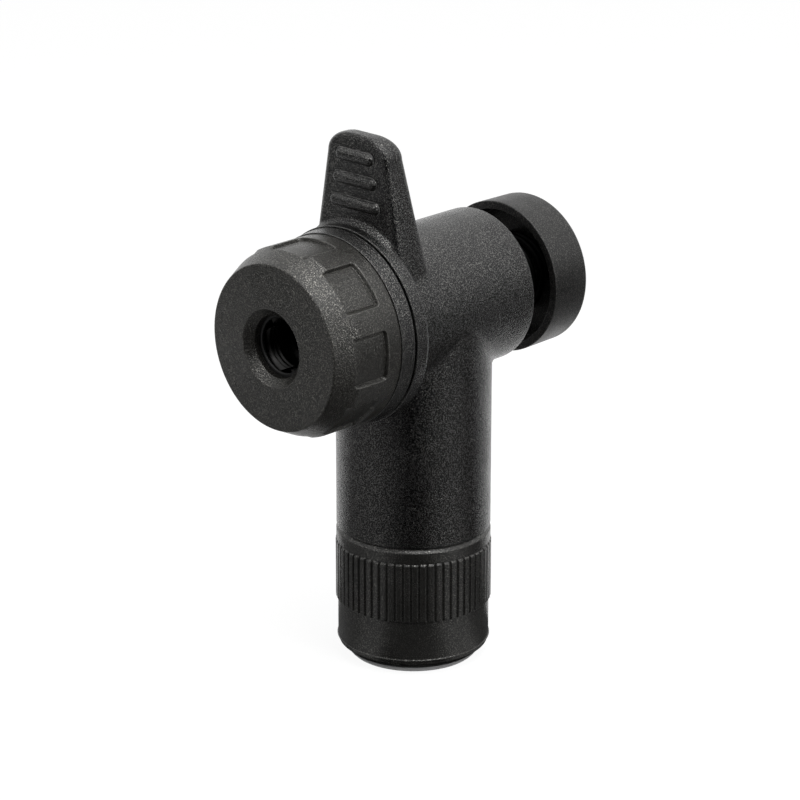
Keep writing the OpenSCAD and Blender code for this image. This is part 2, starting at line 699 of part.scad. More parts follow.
module barb_oring() {
    color([0.03, 0.03, 0.03]) translate([0, 0, barb_top + o_ring_wire])
        rotate_extrude() translate([1.2 * hose_in, 0]) circle(r = o_ring_wire, $fn = 24);
}

module hose_collet() {
    slit = 0.6;
    slit_bottom = collar_top + 3 * rest_gap;
    finger_root_t = 1.5;
    finger_tip_t = 0.25;
    color([0.1, 0.1, 0.1]) difference() {
        rotate_extrude() polygon([[hose_bore_r, 0], [collet_skirt_r, 0], [collet_skirt_r, collar_bottom],
            [neck_thread_r - 0.1, collar_bottom], [neck_thread_r - 0.1, collar_top],
            [hose_bore_r + finger_root_t, collar_top], [hose_bore_r + finger_tip_t, finger_top],
            [hose_bore_r, finger_top]]);
        for (a = [30:60:330]) rotate([0, 0, a]) translate([0, -slit / 2, slit_bottom])
            cube([neck_r, slit, finger_len + 1]);
    }
}

// Ring pressed on the collet's skirt, low enough to let the nut and its washer down by one turn
module foot_ring() {
    top = washer_bottom - nut_pitch - rest_gap;
    edge = 0.3;
    color([0.62, 0.62, 0.62]) rotate_extrude() polygon([[collet_skirt_r + seat, 0], [foot_r - edge, 0],
        [foot_r, edge], [foot_r, top], [collet_skirt_r + seat, top]]);
}

module nut_slip_washer() {
    color([0.5, 0.5, 0.52]) translate([0, 0, washer_bottom]) difference() {
        cylinder(r = nut_bore_r - 0.1, h = washer_t);
        translate([0, 0, -1]) cylinder(r = collet_skirt_r + 0.15, h = washer_t + 2);
    }
}

// Outline of the knurl: narrow flat ribs with shallow grooves between them
function knurl_outline() = [for (i = [0:knurl_count - 1])
    let (pitch = 360 / knurl_count, low = knurl_r - knurl_depth)
    for (p = [[low, 0], [knurl_r, 0.28], [knurl_r, 0.72], [low, 1]])
        let (a = (i + 0.04 + 0.92 * p[1]) * pitch) [p[0] * cos(a), p[0] * sin(a)]];

module hose_nut() {
    band_r = knurl_r - 0.1;
    foot_in_r = foot_r + 0.12;
    color([0.11, 0.11, 0.12]) difference() {
        union() {
            rotate_extrude() polygon([[0, nut_bottom], [nut_low_r - 0.4, nut_bottom],
                [nut_low_r - 0.2, nut_bottom + 0.15], [nut_low_r, nut_bottom + 1.4],
                [nut_low_r, knurl_bottom + eps], [band_r - knurl_depth, knurl_bottom + eps],
                [band_r - knurl_depth, nut_top - band_w], [band_r, nut_top - band_w + 0.1],
                [band_r, nut_top - 0.5], [band_r - 0.5, nut_top], [0, nut_top]]);
            translate([0, 0, knurl_bottom]) intersection() {
                linear_extrude(height = knurl_len) polygon(knurl_outline());
                rotate_extrude() polygon([[0, 0], [knurl_r - 0.25, 0], [knurl_r + eps, 0.3],
                    [knurl_r + eps, knurl_len - 0.3], [knurl_r - 0.25, knurl_len], [0, knurl_len]]);
            }
        }
        translate([0, 0, nut_bottom - 1]) cylinder(r = foot_in_r, h = nut_top - nut_bottom + 2);
        translate([0, 0, lip_top]) cylinder(r = nut_bore_r, h = nut_top - lip_top + 1);
    }
}

body();
jaw_cage();
flange_gasket();
front_cap();
cap_slip_ring();
jaw_top();
jaw_left();
jaw_right();
garter_spring();
wedge_sleeve();
push_pins();
pin_screws();
push_yoke();
yoke_screw();
push_rod();
rear_button();
return_spring();
rod_guide();
air_spout();
spout_oring();
valve_seal();
core_pin();
hose_barb();
barb_oring();
hose_collet();
foot_ring();
nut_slip_washer();
hose_nut();
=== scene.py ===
"""Quick-release head of a tire inflator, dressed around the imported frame.

Lengths in the classes of the head's parts are millimetres. Parts on the barrel are given by
(radius, forward), where forward is the distance from the neck's axis towards the valve
opening. Parts on the neck are given by (radius, height). Finishes, lamps, cards and the
floor are in metres.
"""

from __future__ import annotations

import logging
import math
from collections.abc import Callable, Sequence
from dataclasses import dataclass, field
from enum import Enum

import bmesh
import bpy
import numpy as np
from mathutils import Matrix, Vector


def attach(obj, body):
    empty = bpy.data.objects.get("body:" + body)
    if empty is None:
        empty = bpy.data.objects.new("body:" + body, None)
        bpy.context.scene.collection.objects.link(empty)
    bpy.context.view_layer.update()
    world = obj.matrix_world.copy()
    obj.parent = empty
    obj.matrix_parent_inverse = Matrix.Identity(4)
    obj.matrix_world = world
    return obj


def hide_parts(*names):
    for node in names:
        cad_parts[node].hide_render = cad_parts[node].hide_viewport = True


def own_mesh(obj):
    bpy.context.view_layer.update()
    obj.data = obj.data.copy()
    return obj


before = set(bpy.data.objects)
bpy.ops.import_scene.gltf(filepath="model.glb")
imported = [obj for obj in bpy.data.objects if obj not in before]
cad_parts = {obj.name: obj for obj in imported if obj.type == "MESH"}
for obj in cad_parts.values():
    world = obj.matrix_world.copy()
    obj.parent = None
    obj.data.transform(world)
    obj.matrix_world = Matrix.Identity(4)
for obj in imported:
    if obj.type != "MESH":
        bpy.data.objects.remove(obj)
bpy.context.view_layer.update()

LOG = logging.getLogger("inflator_head")
MM = 0.001
FULL_TURN = 2.0 * math.pi
AXIS_HEIGHT = 52.1  # of the barrel's axis over the floor, in millimetres
THREAD_PITCH = 1.5  # of the threads of neck, nut, cage and cap
SHARP_ANGLE = 34.0  # degrees past which an edge stays sharp
MERGE_GAP = 1e-6  # metres within which two points of a carved mesh become one
TINY_CORNER = 1e-7  # stands for a corner radius of 0
STRAIGHT = 0.99999  # cosine past which a corner counts as straight
SAME_POINT = 1e-5
ON_AXIS = 1e-6
ON_WALL = 0.01  # how far a thread or a knurl reaches past its wall
THREAD_ROW_GAP = 0.15  # millimetres between the rows of a thread's wall
GARTER_AT = 21.775  # where the garter spring lies on the barrel
CUT_PAST = 1.0  # how far a cutter reaches past the face that it opens
BEVEL_SAMPLES = 6
WHITE = (1.0, 1.0, 1.0, 1.0)
Array = np.ndarray
Change = Callable[[Array, Array, Array], Array]


# ---------------------------------------------------------------- shapes


class Axis(Enum):
    """The two axes that the head's turned parts are made about."""

    BARREL = "barrel"
    NECK = "neck"

    def points(self, radius: Array, along: Array, angle: Array) -> Array:
        """Points at a radius, a distance along the axis and an angle round it.

        One coordinate is radius times the cosine of the angle, the other radius times its
        sine, and the third is the distance along the axis.

        Args:
            radius: distances from the axis.
            along: distances along it, forward on the barrel and up on the neck.
            angle: angles round it, in radians.

        Returns:
            Points in the frame, in millimetres, with x, y and z on the last axis.
        """
        side, other, along = np.broadcast_arrays(radius * np.cos(angle), radius * np.sin(angle), along)
        if self is Axis.BARREL:
            return np.stack([side, -along, AXIS_HEIGHT + other], axis=-1)
        return np.stack([side, other, along], axis=-1)


class Jaw(Enum):
    """The three jaws by the bodies that they ride on, a third of a turn apart from the top one on."""

    TOP = "upper_jaw"
    LEFT = "left_jaw"
    RIGHT = "right_jaw"

    def angle(self) -> float:
        """Where the jaw stands round the barrel, in radians."""
        return math.radians(90 + 120 * list(Jaw).index(self))


def linked(name: str, data: bpy.types.ID) -> bpy.types.Object:
    """Makes an object and links it to the scene.

    Args:
        name: name of the object.
        data: its mesh, lamp or camera.

    Returns:
        The object.
    """
    made = bpy.data.objects.new(name, data)
    bpy.context.scene.collection.objects.link(made)
    return made


def eased(share: Array) -> Array:
    """A share from 0 to 1 with soft ends: its square times three less twice itself."""
    return share**2 * (3 - 2 * share)


def unit(vectors: Array, least: float = 1e-12) -> Array:
    """Vectors on the last axis over their length, or over the least length if they are shorter."""
    return vectors / np.maximum(np.linalg.norm(vectors, axis=-1, keepdims=True), least)


@dataclass
class Skin:
    """Closed surfaces gathered from grids of points, in millimetres."""

    points: list[Array] = field(default_factory=list)
    faces: list[Array] = field(default_factory=list)
    count: int = 0

    def add(
        self, grid: Array, start: Array | None = None, end: Array | None = None, ring: bool = False
    ) -> Skin:
        """Adds a grid whose columns run round and close, turned so that it faces outwards.

        Args:
            grid: points, rows by columns by three.
            start: pole that closes the first row, if any.
            end: pole that closes the last row, if any.
            ring: whether the last row joins the first.

        Returns:
            The skin itself.
        """
        rows, cols = grid.shape[:2]
        index = np.arange(rows * cols).reshape(rows, cols)
        index = np.concatenate([index, index[:, :1]], axis=1)
        if ring:
            index = np.concatenate([index, index[:1]], axis=0)
        points = [grid.reshape(-1, 3)]
        corners = [index[:-1, :-1], index[:-1, 1:], index[1:, 1:], index[1:, :-1]]
        faces = [np.stack(corners, axis=-1).reshape(-1, 4)]
        for pole, edge in ((start, index[0, ::-1]), (end, index[-1])):
            if pole is not None:
                tip = np.full(cols, sum(len(part) for part in points))
                points.append(np.reshape(pole, (1, 3)))
                faces.append(np.stack([tip, edge[:-1], edge[1:]], axis=-1))
        placed = np.concatenate(points)
        turned_in = sum(signed_volume(placed, part) for part in faces) < 0
        self.points.append(placed)
        self.faces += [(part[:, ::-1] if turned_in else part) + self.count for part in faces]
        self.count += len(placed)
        return self

    def mesh(self, name: str) -> bpy.types.Mesh:
        """Makes a Blender mesh of the surfaces, in metres, smooth except at sharp edges.

        Args:
            name: name of the mesh.

        Returns:
            The mesh.
        """
        mesh = bpy.data.meshes.new(name)
        faces = [row for part in self.faces for row in part.tolist()]
        mesh.from_pydata((np.concatenate(self.points) * MM).tolist(), [], faces)
        return finish_shading(mesh)


def signed_volume(points: Array, faces: Array) -> float:
    """Volume between faces and the origin, a sixth of the sum of their corners' determinants.

    Args:
        points: points by three.
        faces: indices of the points, one row for each face.

    Returns:
        The volume, less than 0 where the faces point inwards.
    """
    first = points[faces[:, 0]]
    total = 0.0
    for k in range(1, faces.shape[1] - 1):
        spanned = np.cross(points[faces[:, k]], points[faces[:, k + 1]])
        total += float(np.einsum("ij,ij->", first, spanned))
    return total / 6.0


def finish_shading(mesh: bpy.types.Mesh) -> bpy.types.Mesh:
    """Shades a mesh smooth, with its sharp edges kept sharp.

    Args:
        mesh: the mesh, which is changed.

    Returns:
        The same mesh.
    """
    mesh.shade_smooth()
    mesh.set_sharp_from_angle(angle=math.radians(SHARP_ANGLE))
    mesh.update()
    return mesh


def capped(grid: Array) -> Skin:
    """A grid whose first and last row are closed by poles in their middle."""
    return Skin().add(grid, grid[0].mean(axis=0), grid[-1].mean(axis=0))


def rounded(corners: Sequence[tuple[float, ...]], steps: int = 5, ring: bool = False) -> Array:
    """Carries a line round corners along arcs that touch both of their sides.

    The arc of a corner starts at radius over the tangent of half its angle from it. Its
    points are the blend of its two end spokes, brought back to the radius.

    Args:
        corners: (radius, along) of each corner, and its corner radius where it has one.
        steps: segments in each arc.
        ring: whether the line closes on itself.

    Returns:
        The line's points as (radius, along) rows.
    """
    data = np.array([(*corner, 0.0)[:3] for corner in corners], float)
    here, size = data[:, :2], data[:, 2]
    back, ahead = unit(np.roll(here, 1, axis=0) - here), unit(np.roll(here, -1, axis=0) - here)
    size = np.where(size > 0, size, TINY_CORNER)
    if not ring:
        size[[0, -1]] = TINY_CORNER
    half = np.arccos(np.clip((back * ahead).sum(axis=1), -STRAIGHT, STRAIGHT)) / 2
    centre = here + unit(back + ahead, 1e-9) * (size / np.sin(half))[:, None]
    reach = (size / np.tan(half))[:, None]
    first, last = here + back * reach - centre, here + ahead * reach - centre
    blend = np.linspace(0, 1, steps + 1)[None, :, None]
    spread = (math.pi - 2 * half)[:, None, None]
    spokes = unit(np.sin((1 - blend) * spread) * first[:, None] + np.sin(blend * spread) * last[:, None])
    line = (centre[:, None] + spokes * size[:, None, None]).reshape(-1, 2)
    if not ring:
        line[: steps + 1], line[-steps - 1 :] = here[0], here[-1]
    keep = np.linalg.norm(line - np.roll(line, 1, axis=0), axis=1) > SAME_POINT
    keep[0] = keep[0] or not ring
    return line[keep]


def refined(
    line: Array, longest: float, low: float = -math.inf, high: float = math.inf, ring: bool = False
) -> Array:
    """Puts more points into a line, evenly, where its stretches are long.

    Args:
        line: (radius, along) rows.
        longest: longest stretch allowed.
        low: lowest place along the axis where it is refined.
        high: highest such place.
        ring: whether the last point joins the first.

    Returns:
        The line with the points added.
    """
    starts, ends = (line, np.roll(line, -1, axis=0)) if ring else (line[:-1], line[1:])
    middle = (starts[:, 1] + ends[:, 1]) / 2
    length = np.linalg.norm(ends - starts, axis=1)
    pieces = np.where((middle > low) & (middle < high), np.ceil(length / longest - 1e-9), 1).astype(int)
    pieces = np.maximum(pieces, 1)
    owner = np.repeat(np.arange(len(starts)), pieces)
    step = np.arange(len(owner)) - np.repeat(np.cumsum(pieces) - pieces, pieces)
    share = (step / pieces[owner])[:, None]
    points = starts[owner] * (1 - share) + ends[owner] * share
    return points if ring else np.concatenate([points, line[-1:]])


def spliced(line: Array, at: int, radius: float, along: Array) -> Array:
    """Puts rows of one radius into a line.

    Args:
        line: (radius, along) rows.
        at: the row that they follow.
        radius: the radius of all of them.
        along: their places along the axis.

    Returns:
        The longer line.
    """
    added = np.column_stack([np.full(len(along), radius), along])
    return np.concatenate([line[: at + 1], added, line[at + 1 :]])


def turned(
    line: Array, axis: Axis, columns: int | Array, ring: bool = False, change: Change | None = None
) -> Skin:
    """Carries a (radius, along) line round an axis.

    Each point is the line's radius at its angle, which a change may lift or lower. An end
    of the line that lies on the axis becomes a pole.

    Args:
        line: (radius, along) rows.
        axis: the axis it turns about.
        columns: how many steps go round, or the angles themselves.
        ring: whether the line closes on itself, as that of a ring or a sleeve does.
        change: gives the radius from radius, along and angle.

    Returns:
        The closed surface.
    """
    angles = np.linspace(0, FULL_TURN, columns, endpoint=False) if isinstance(columns, int) else columns
    on_axis = line[:, 0] < ON_AXIS
    rows = line[~on_axis]
    radius, along, angle = np.broadcast_arrays(rows[:, :1], rows[:, 1:], angles[None, :])
    if change is not None:
        radius = change(radius, along, angle)
    zero = np.zeros(1)
    start, end = (axis.points(zero, line[i, 1:], zero)[0] if on_axis[i] else None for i in (0, -1))
    return Skin().add(axis.points(radius, along, angle), start, end, ring)


@dataclass(frozen=True)
class Thread:
    """A thread cut in a wall as a helical groove, which fades in over half a pitch at both ends.

    The wall is a radius, and low and high are where the thread starts and ends along the
    axis. The depth is less than 0 in an inner wall. The groove works on radii from under the
    wall to just past it.
    """

    wall: float
    low: float
    high: float
    depth: float
    under: float = ON_WALL

    def cut(self, radius: Array, along: Array, angle: Array) -> Array:
        """Takes the groove off a radius: depth times a rounded wave of along over pitch minus turns.

        Args:
            radius: distances from the axis.
            along: distances along it.
            angle: angles round it, in radians.

        Returns:
            The radius with the groove taken off.
        """
        wave = 0.5 - 0.5 * np.cos(FULL_TURN * (along / THREAD_PITCH) - angle)
        fade = np.clip(np.minimum(along - self.low, self.high - along) / (0.5 * THREAD_PITCH), 0, 1)
        inside = (radius > self.wall - self.under) & (radius < self.wall + ON_WALL)
        return radius - np.where(inside, self.depth * wave**1.5 * fade, 0)


def tube(centre: Array, side: Array, other: Array, wire: float, around: int) -> Skin:
    """Carries a round wire along a path.

    Each ring is the centre plus the wire's radius times (cosine of side, sine of other).

    Args:
        centre: points of the path.
        side: unit vector across the path at each point.
        other: unit vector across both.
        wire: radius of the wire.
        around: points in a ring.

    Returns:
        The closed surface.
    """
    turn = np.linspace(0, FULL_TURN, around, endpoint=False)[None, :, None]
    grid = centre[:, None] + wire * (np.cos(turn) * side[:, None] + np.sin(turn) * other[:, None])
    return Skin().add(grid, centre[0], centre[-1])


def block(low: tuple[float, float, float], high: tuple[float, float, float], turn: Array) -> Skin:
    """A cutter with flat sides, as a grid of four columns and two rows.

    Args:
        low: its lowest corner, before it is turned.
        high: its highest corner.
        turn: the matrix that turns it about the barrel's axis.

    Returns:
        The closed surface.
    """
    x, y = np.array([0, 1, 1, 0]), np.array([0, 0, 1, 1])
    a, b = np.array(low), np.array(high)
    ring = np.stack([a[0] + (b[0] - a[0]) * x, a[1] + (b[1] - a[1]) * y], axis=1)
    rows = [np.column_stack([ring, np.full(4, z)]) for z in (a[2], b[2])]
    return capped(np.stack(rows) @ turn.T + np.array([0, 0, AXIS_HEIGHT]))


def barrel_turn(angle: float) -> Array:
    """Matrix that lays local x outwards at an angle round the barrel, and local z forward."""
    c, s = math.cos(angle), math.sin(angle)
    return np.array([[c, -s, 0], [0, 0, -1], [s, c, 0]])


# ---------------------------------------------------------------- materials


class Sockets:
    """Short names for a node tree's making: adding nodes and joining their sockets."""

    def __init__(self, tree: bpy.types.NodeTree) -> None:
        """Keeps the tree that the nodes go into."""
        self.tree = tree

    @classmethod
    def fresh(cls, owner: bpy.types.Material | bpy.types.World) -> Sockets:
        """Empties the node tree of a material or a world.

        Args:
            owner: the material or the world.

        Returns:
            The maker of its nodes.
        """
        owner.use_nodes = True
        owner.node_tree.nodes.clear()
        return cls(owner.node_tree)

    def node(self, kind: str, settings: dict[str, object] | None = None, **inputs: object) -> bpy.types.Node:
        """Adds a node.

        Args:
            kind: Blender's name of the node type, without ShaderNode.
            settings: the node's own properties.
            **inputs: values or sockets by input name, with underscores for spaces, or by
                number after an underscore.

        Returns:
            The node.
        """
        made = self.tree.nodes.new("ShaderNode" + kind)
        for key, value in (settings or {}).items():
            setattr(made, key, value)
        for key, value in inputs.items():
            self.feed(made.inputs[int(key[1:]) if key[0] == "_" else key.replace("_", " ")], value)
        return made

    def feed(self, socket: bpy.types.NodeSocket, value: object) -> None:
        """Joins a socket to another, or sets its value.

        Args:
            socket: the socket that is fed.
            value: another socket, or a value.
        """
        if isinstance(value, bpy.types.NodeSocket):
            self.tree.links.new(value, socket)
        else:
            socket.default_value = value

    def math(self, operation: str, *values: object) -> bpy.types.NodeSocket:
        """Adds a Math node.

        Args:
            operation: what it does.
            *values: numbers or sockets that it works on.

        Returns:
            The socket of its result.
        """
        made = self.node("Math", {"operation": operation})
        for socket, value in zip(made.inputs, values):
            self.feed(socket, value)
        return made.outputs[0]

    def ramp(
        self, value: object, low: float, high: float, to_low: float = 0.0, to_high: float = 1.0
    ) -> bpy.types.NodeSocket:
        """Adds a smooth Map Range node.

        Args:
            value: the number or socket that is mapped.
            low: where the ramp starts.
            high: where it ends.
            to_low: result at its start.
            to_high: result at its end.

        Returns:
            The socket of its result.
        """
        made = self.node("MapRange", {"interpolation_type": "SMOOTHSTEP"}, Value=value)
        for socket, number in zip(list(made.inputs)[1:5], (low, high, to_low, to_high)):
            socket.default_value = number
        return made.outputs[0]

    def mix(self, share: object, first: object, second: object) -> bpy.types.NodeSocket:
        """Adds a colour Mix node.

        Args:
            share: how much of the second colour there is.
            first: colour at a share of 0.
            second: colour at a share of 1.

        Returns:
            The socket of its result.
        """
        made = self.node("Mix", {"data_type": "RGBA"}, _0=share, _6=first, _7=second)
        return made.outputs[2]


class EffectGroup:
    """A shader node group with named sockets, built once and placed in many materials."""

    def __init__(self, name: str, inputs: dict[str, float], outputs: Sequence[str]) -> None:
        """Makes the group's tree and its sockets, with a vector input for the place.

        Args:
            name: name of the group.
            inputs: first value of each number that goes in, by name.
            outputs: names of the numbers that come out.
        """
        self.tree = bpy.data.node_groups.new(name, "ShaderNodeTree")
        self.tree.interface.new_socket("Vector", in_out="INPUT", socket_type="NodeSocketVector")
        for key, value in inputs.items():
            socket = self.tree.interface.new_socket(key, in_out="INPUT", socket_type="NodeSocketFloat")
            socket.default_value = value
        for key in outputs:
            self.tree.interface.new_socket(key, in_out="OUTPUT", socket_type="NodeSocketFloat")
        self.make = Sockets(self.tree)
        self.inside = self.tree.nodes.new("NodeGroupInput").outputs
        self.result = self.tree.nodes.new("NodeGroupOutput").inputs

    def noise(self, scale: object, **inputs: object) -> bpy.types.NodeSocket:
        """Adds a noise at the group's place.

        Args:
            scale: its scale, a number or a socket.
            **inputs: its other settings by input name.

        Returns:
            The socket of its value.
        """
        made = self.make.node("TexNoise", Vector=self.inside["Vector"], Scale=scale, **inputs)
        return made.outputs[0]

    def give(self, name: str, value: bpy.types.NodeSocket) -> None:
        """Feeds one of the group's outputs."""
        self.make.feed(self.result[name], value)

    def place(self, make: Sockets, **inputs: object) -> bpy.types.NodeOutputs:
        """Puts the group into a material.

        Args:
            make: the material's node maker.
            **inputs: values or sockets by input name, with underscores for spaces.

        Returns:
            The group's outputs.
        """
        made = make.node("Group", {"node_tree": self.tree})
        for key, value in inputs.items():
            make.feed(made.inputs[key.replace("_", " ")], value)
        return made.outputs


class Effects:
    """The effects that the head's finishes share."""

    def __init__(self) -> None:
        """Builds each group once."""
        self.grain = self.spark_grain()
        self.edges = self.edge_light()
        self.haze = self.handling_haze()
        self.lathe = self.lathe_marks()

    @staticmethod
    def spark_grain() -> EffectGroup:
        """Builds the coarse grain of a spark-eroded mould: two sizes of lumps, and their fleck.

        Returns:
            The group.
        """
        group = EffectGroup("Spark grain", {"Scale": 4000.0, "Coarse share": 0.4}, ("Height", "Fleck"))
        make, scale = group.make, group.inside["Scale"]
        fine = group.noise(scale, Detail=1.5, Roughness=0.6)
        coarse_scale = make.math("MULTIPLY", scale, 0.37)
        coarse = group.noise(coarse_scale, Detail=1.0, Roughness=0.5)
        share = group.inside["Coarse share"]
        lumps = make.node("Mix", {"data_type": "FLOAT"}, _0=share, _2=fine, _3=coarse)
        group.give("Height", lumps.outputs[0])
        group.give("Fleck", make.ramp(group.noise(scale, Detail=1.0, Roughness=0.8), 0.55, 0.62))
        return group

    @staticmethod
    def edge_light() -> EffectGroup:
        """Builds the mask of a painted edge highlight: outer edges, where a rounded normal leaves
        the true one, broken by noise.

        Returns:
            The group.
        """
        group = EffectGroup("Edge highlight", {"Radius": 0.0003, "Breakup": 900.0}, ("Mask",))
        make = group.make
        soft = make.node("Bevel", {"samples": BEVEL_SAMPLES}, Radius=group.inside["Radius"])
        true = make.node("NewGeometry").outputs["Normal"]
        turn = make.node("VectorMath", {"operation": "DOT_PRODUCT"}, _0=soft.outputs[0], _1=true)
        edge = make.ramp(turn.outputs["Value"], 0.995, 0.86)
        breakup = make.ramp(group.noise(group.inside["Breakup"], Detail=3.0), 0.35, 0.65, 0.35, 1.0)
        group.give("Mask", make.math("MULTIPLY", edge, breakup))
        return group

    @staticmethod
    def handling_haze() -> EffectGroup:
        """Builds the slow cloudy change over a part that skin grease and rubbing leave, with specks.

        Returns:
            The group.
        """
        group = EffectGroup("Handling haze", {"Scale": 160.0}, ("Cloud", "Specks"))
        make, given = group.make, group.inside
        group.give("Cloud", make.ramp(group.noise(given["Scale"], Detail=4.0, Roughness=0.55), 0.3, 0.7))
        speck_scale = make.math("MULTIPLY", given["Scale"], 14.0)
        specks = make.node("TexVoronoi", {"feature": "F1"}, Vector=given["Vector"], Scale=speck_scale)
        group.give("Specks", make.ramp(specks.outputs["Distance"], 0.09, 0.04))
        return group

    @staticmethod
    def lathe_marks() -> EffectGroup:
        """Builds the fine rings left by turning, as noise stretched round the barrel's axis.

        Returns:
            The group.
        """
        group = EffectGroup("Lathe marks", {"Scale": 5000.0}, ("Height",))
        make, given = group.make, group.inside
        stretch = (0.06, 1.0, 0.06)
        drawn = make.node("VectorMath", {"operation": "MULTIPLY"}, _0=given["Vector"], _1=stretch)
        rings = make.node("TexNoise", Vector=drawn.outputs[0], Scale=given["Scale"], Detail=3.0)
        group.give("Height", rings.outputs[0])
        return group


class Feel(Enum):
    """What a finish is made of."""

    GRAINED = "grained"
    MATTE = "matte"
    METAL = "metal"
    RUBBER = "rubber"


@dataclass(frozen=True)
class MouldSeam:
    """Hairline that the mould's halves leave along the top, behind the tab's face.

    It runs in the middle, from half_outer down to its full depth at half_inner, behind one
    place and above another. The depth is a share of the grain's.
    """

    half_outer: float = 0.00013
    half_inner: float = 0.00005
    depth: float = 1.2
    behind: float = -0.0100
    above: float = 0.0600

    def height(self, make: Sockets, where: bpy.types.NodeSocket) -> bpy.types.NodeSocket:
        """Adds the nodes of the hairline.

        Args:
            make: the material's node maker.
            where: the place on the surface.

        Returns:
            The socket of its height, 0 beside the line.
        """
        place = make.node("SeparateXYZ", Vector=where).outputs
        away = make.math("ABSOLUTE", place["X"])
        line = make.ramp(away, self.half_outer, self.half_inner, 0.0, -self.depth)
        behind = make.math("GREATER_THAN", place["Y"], self.behind)
        high = make.math("GREATER_THAN", place["Z"], self.above)
        return make.math("MULTIPLY", line, make.math("MULTIPLY", behind, high))


@dataclass(frozen=True)
class Finish:
    """One surface finish: its colour, gloss and grain.

    The grain has a scale, a depth in metres and a share of coarse lumps. Fleck says how much
    of the fleck's colour shows, and glint how metallic the flecks are. Edge light is a painted
    highlight along outer edges, a shift towards the edge colour as wide as the edge radius in
    metres. The tones are the darkest and the lightest of the haze. The rough spread is the
    haze's too, and the specks add their own.
    """

    name: str
    feel: Feel
    colour: tuple[float, float, float]
    rough: float
    grain_scale: float
    grain_depth: float
    coarse: float = 0.35
    fleck: float = 0.0
    fleck_colour: tuple[float, float, float] = (0.062, 0.0612, 0.059)
    glint: float = 0.0
    edge_radius: float = 0.00018
    edge_light: float = 0.25
    edge_colour: tuple[float, float, float] = (0.1, 0.1, 0.1)
    seam: MouldSeam | None = None
    tones: tuple[float, float] = (0.9, 1.12)
    rough_spread: float = 0.06
    speck_rough: float = 0.05
    specular: float = 0.5
    ior: float = 1.5

    def material(self, effects: Effects) -> bpy.types.Material:
        """Builds the node material of the finish.

        Args:
            effects: the shared node groups.

        Returns:
            The material.
        """
        made = bpy.data.materials.new(self.name)
        make = Sockets.fresh(made)
        where = make.node("TexCoord").outputs["Object"]
        shader = make.node("BsdfPrincipled")
        shader.inputs["IOR"].default_value = self.ior
        shader.inputs["Metallic"].default_value = 1.0 if self.feel is Feel.METAL else 0.0
        shader.inputs["Specular IOR Level"].default_value = self.specular

        haze = effects.haze.place(make, Vector=where)
        edge = effects.edges.place(make, Vector=where, Radius=self.edge_radius)["Mask"]
        grain = effects.grain.place(make, Vector=where, Scale=self.grain_scale, Coarse_share=self.coarse)
        height = grain["Height"]
        if self.feel is Feel.METAL:
            height = effects.lathe.place(make, Vector=where, Scale=self.grain_scale)["Height"]
        if self.seam is not None:
            height = make.math("ADD", height, self.seam.height(make, where))

        shade = make.mix(haze["Cloud"], self.toned(self.tones[0]), self.toned(self.tones[1]))
        if self.fleck > 0:
            flecked = make.math("MULTIPLY", grain["Fleck"], self.fleck)
            shade = make.mix(flecked, shade, (*self.fleck_colour, 1.0))
        if self.glint > 0:
            make.feed(shader.inputs["Metallic"], make.math("MULTIPLY", grain["Fleck"], self.glint))
        # Painted highlight: outer edges shift towards the edge colour, lighter than the finish on the dark
        # ones.
        edge_highlight = make.math("MULTIPLY", edge, self.edge_light)
        make.feed(shader.inputs["Base Color"], make.mix(edge_highlight, shade, (*self.edge_colour, 1.0)))

        smooth, dull = self.rough - self.rough_spread, self.rough + self.rough_spread
        rough = make.ramp(haze["Cloud"], 0.0, 1.0, smooth, dull)
        specks = make.math("MULTIPLY", haze["Specks"], self.speck_rough)
        make.feed(shader.inputs["Roughness"], make.math("ADD", rough, specks))
        soft = make.node("Bevel", {"samples": BEVEL_SAMPLES}, Radius=self.edge_radius).outputs[0]
        bump = make.node("Bump", Strength=1.0, Distance=self.grain_depth, Height=height, Normal=soft)
        make.feed(shader.inputs["Normal"], bump.outputs[0])
        make.node("OutputMaterial", Surface=shader.outputs[0])
        return made

    def toned(self, factor: float) -> tuple[float, float, float, float]:
        """The finish's colour made lighter or darker by a factor."""
        return (*(min(1.0, part * factor) for part in self.colour), 1.0)


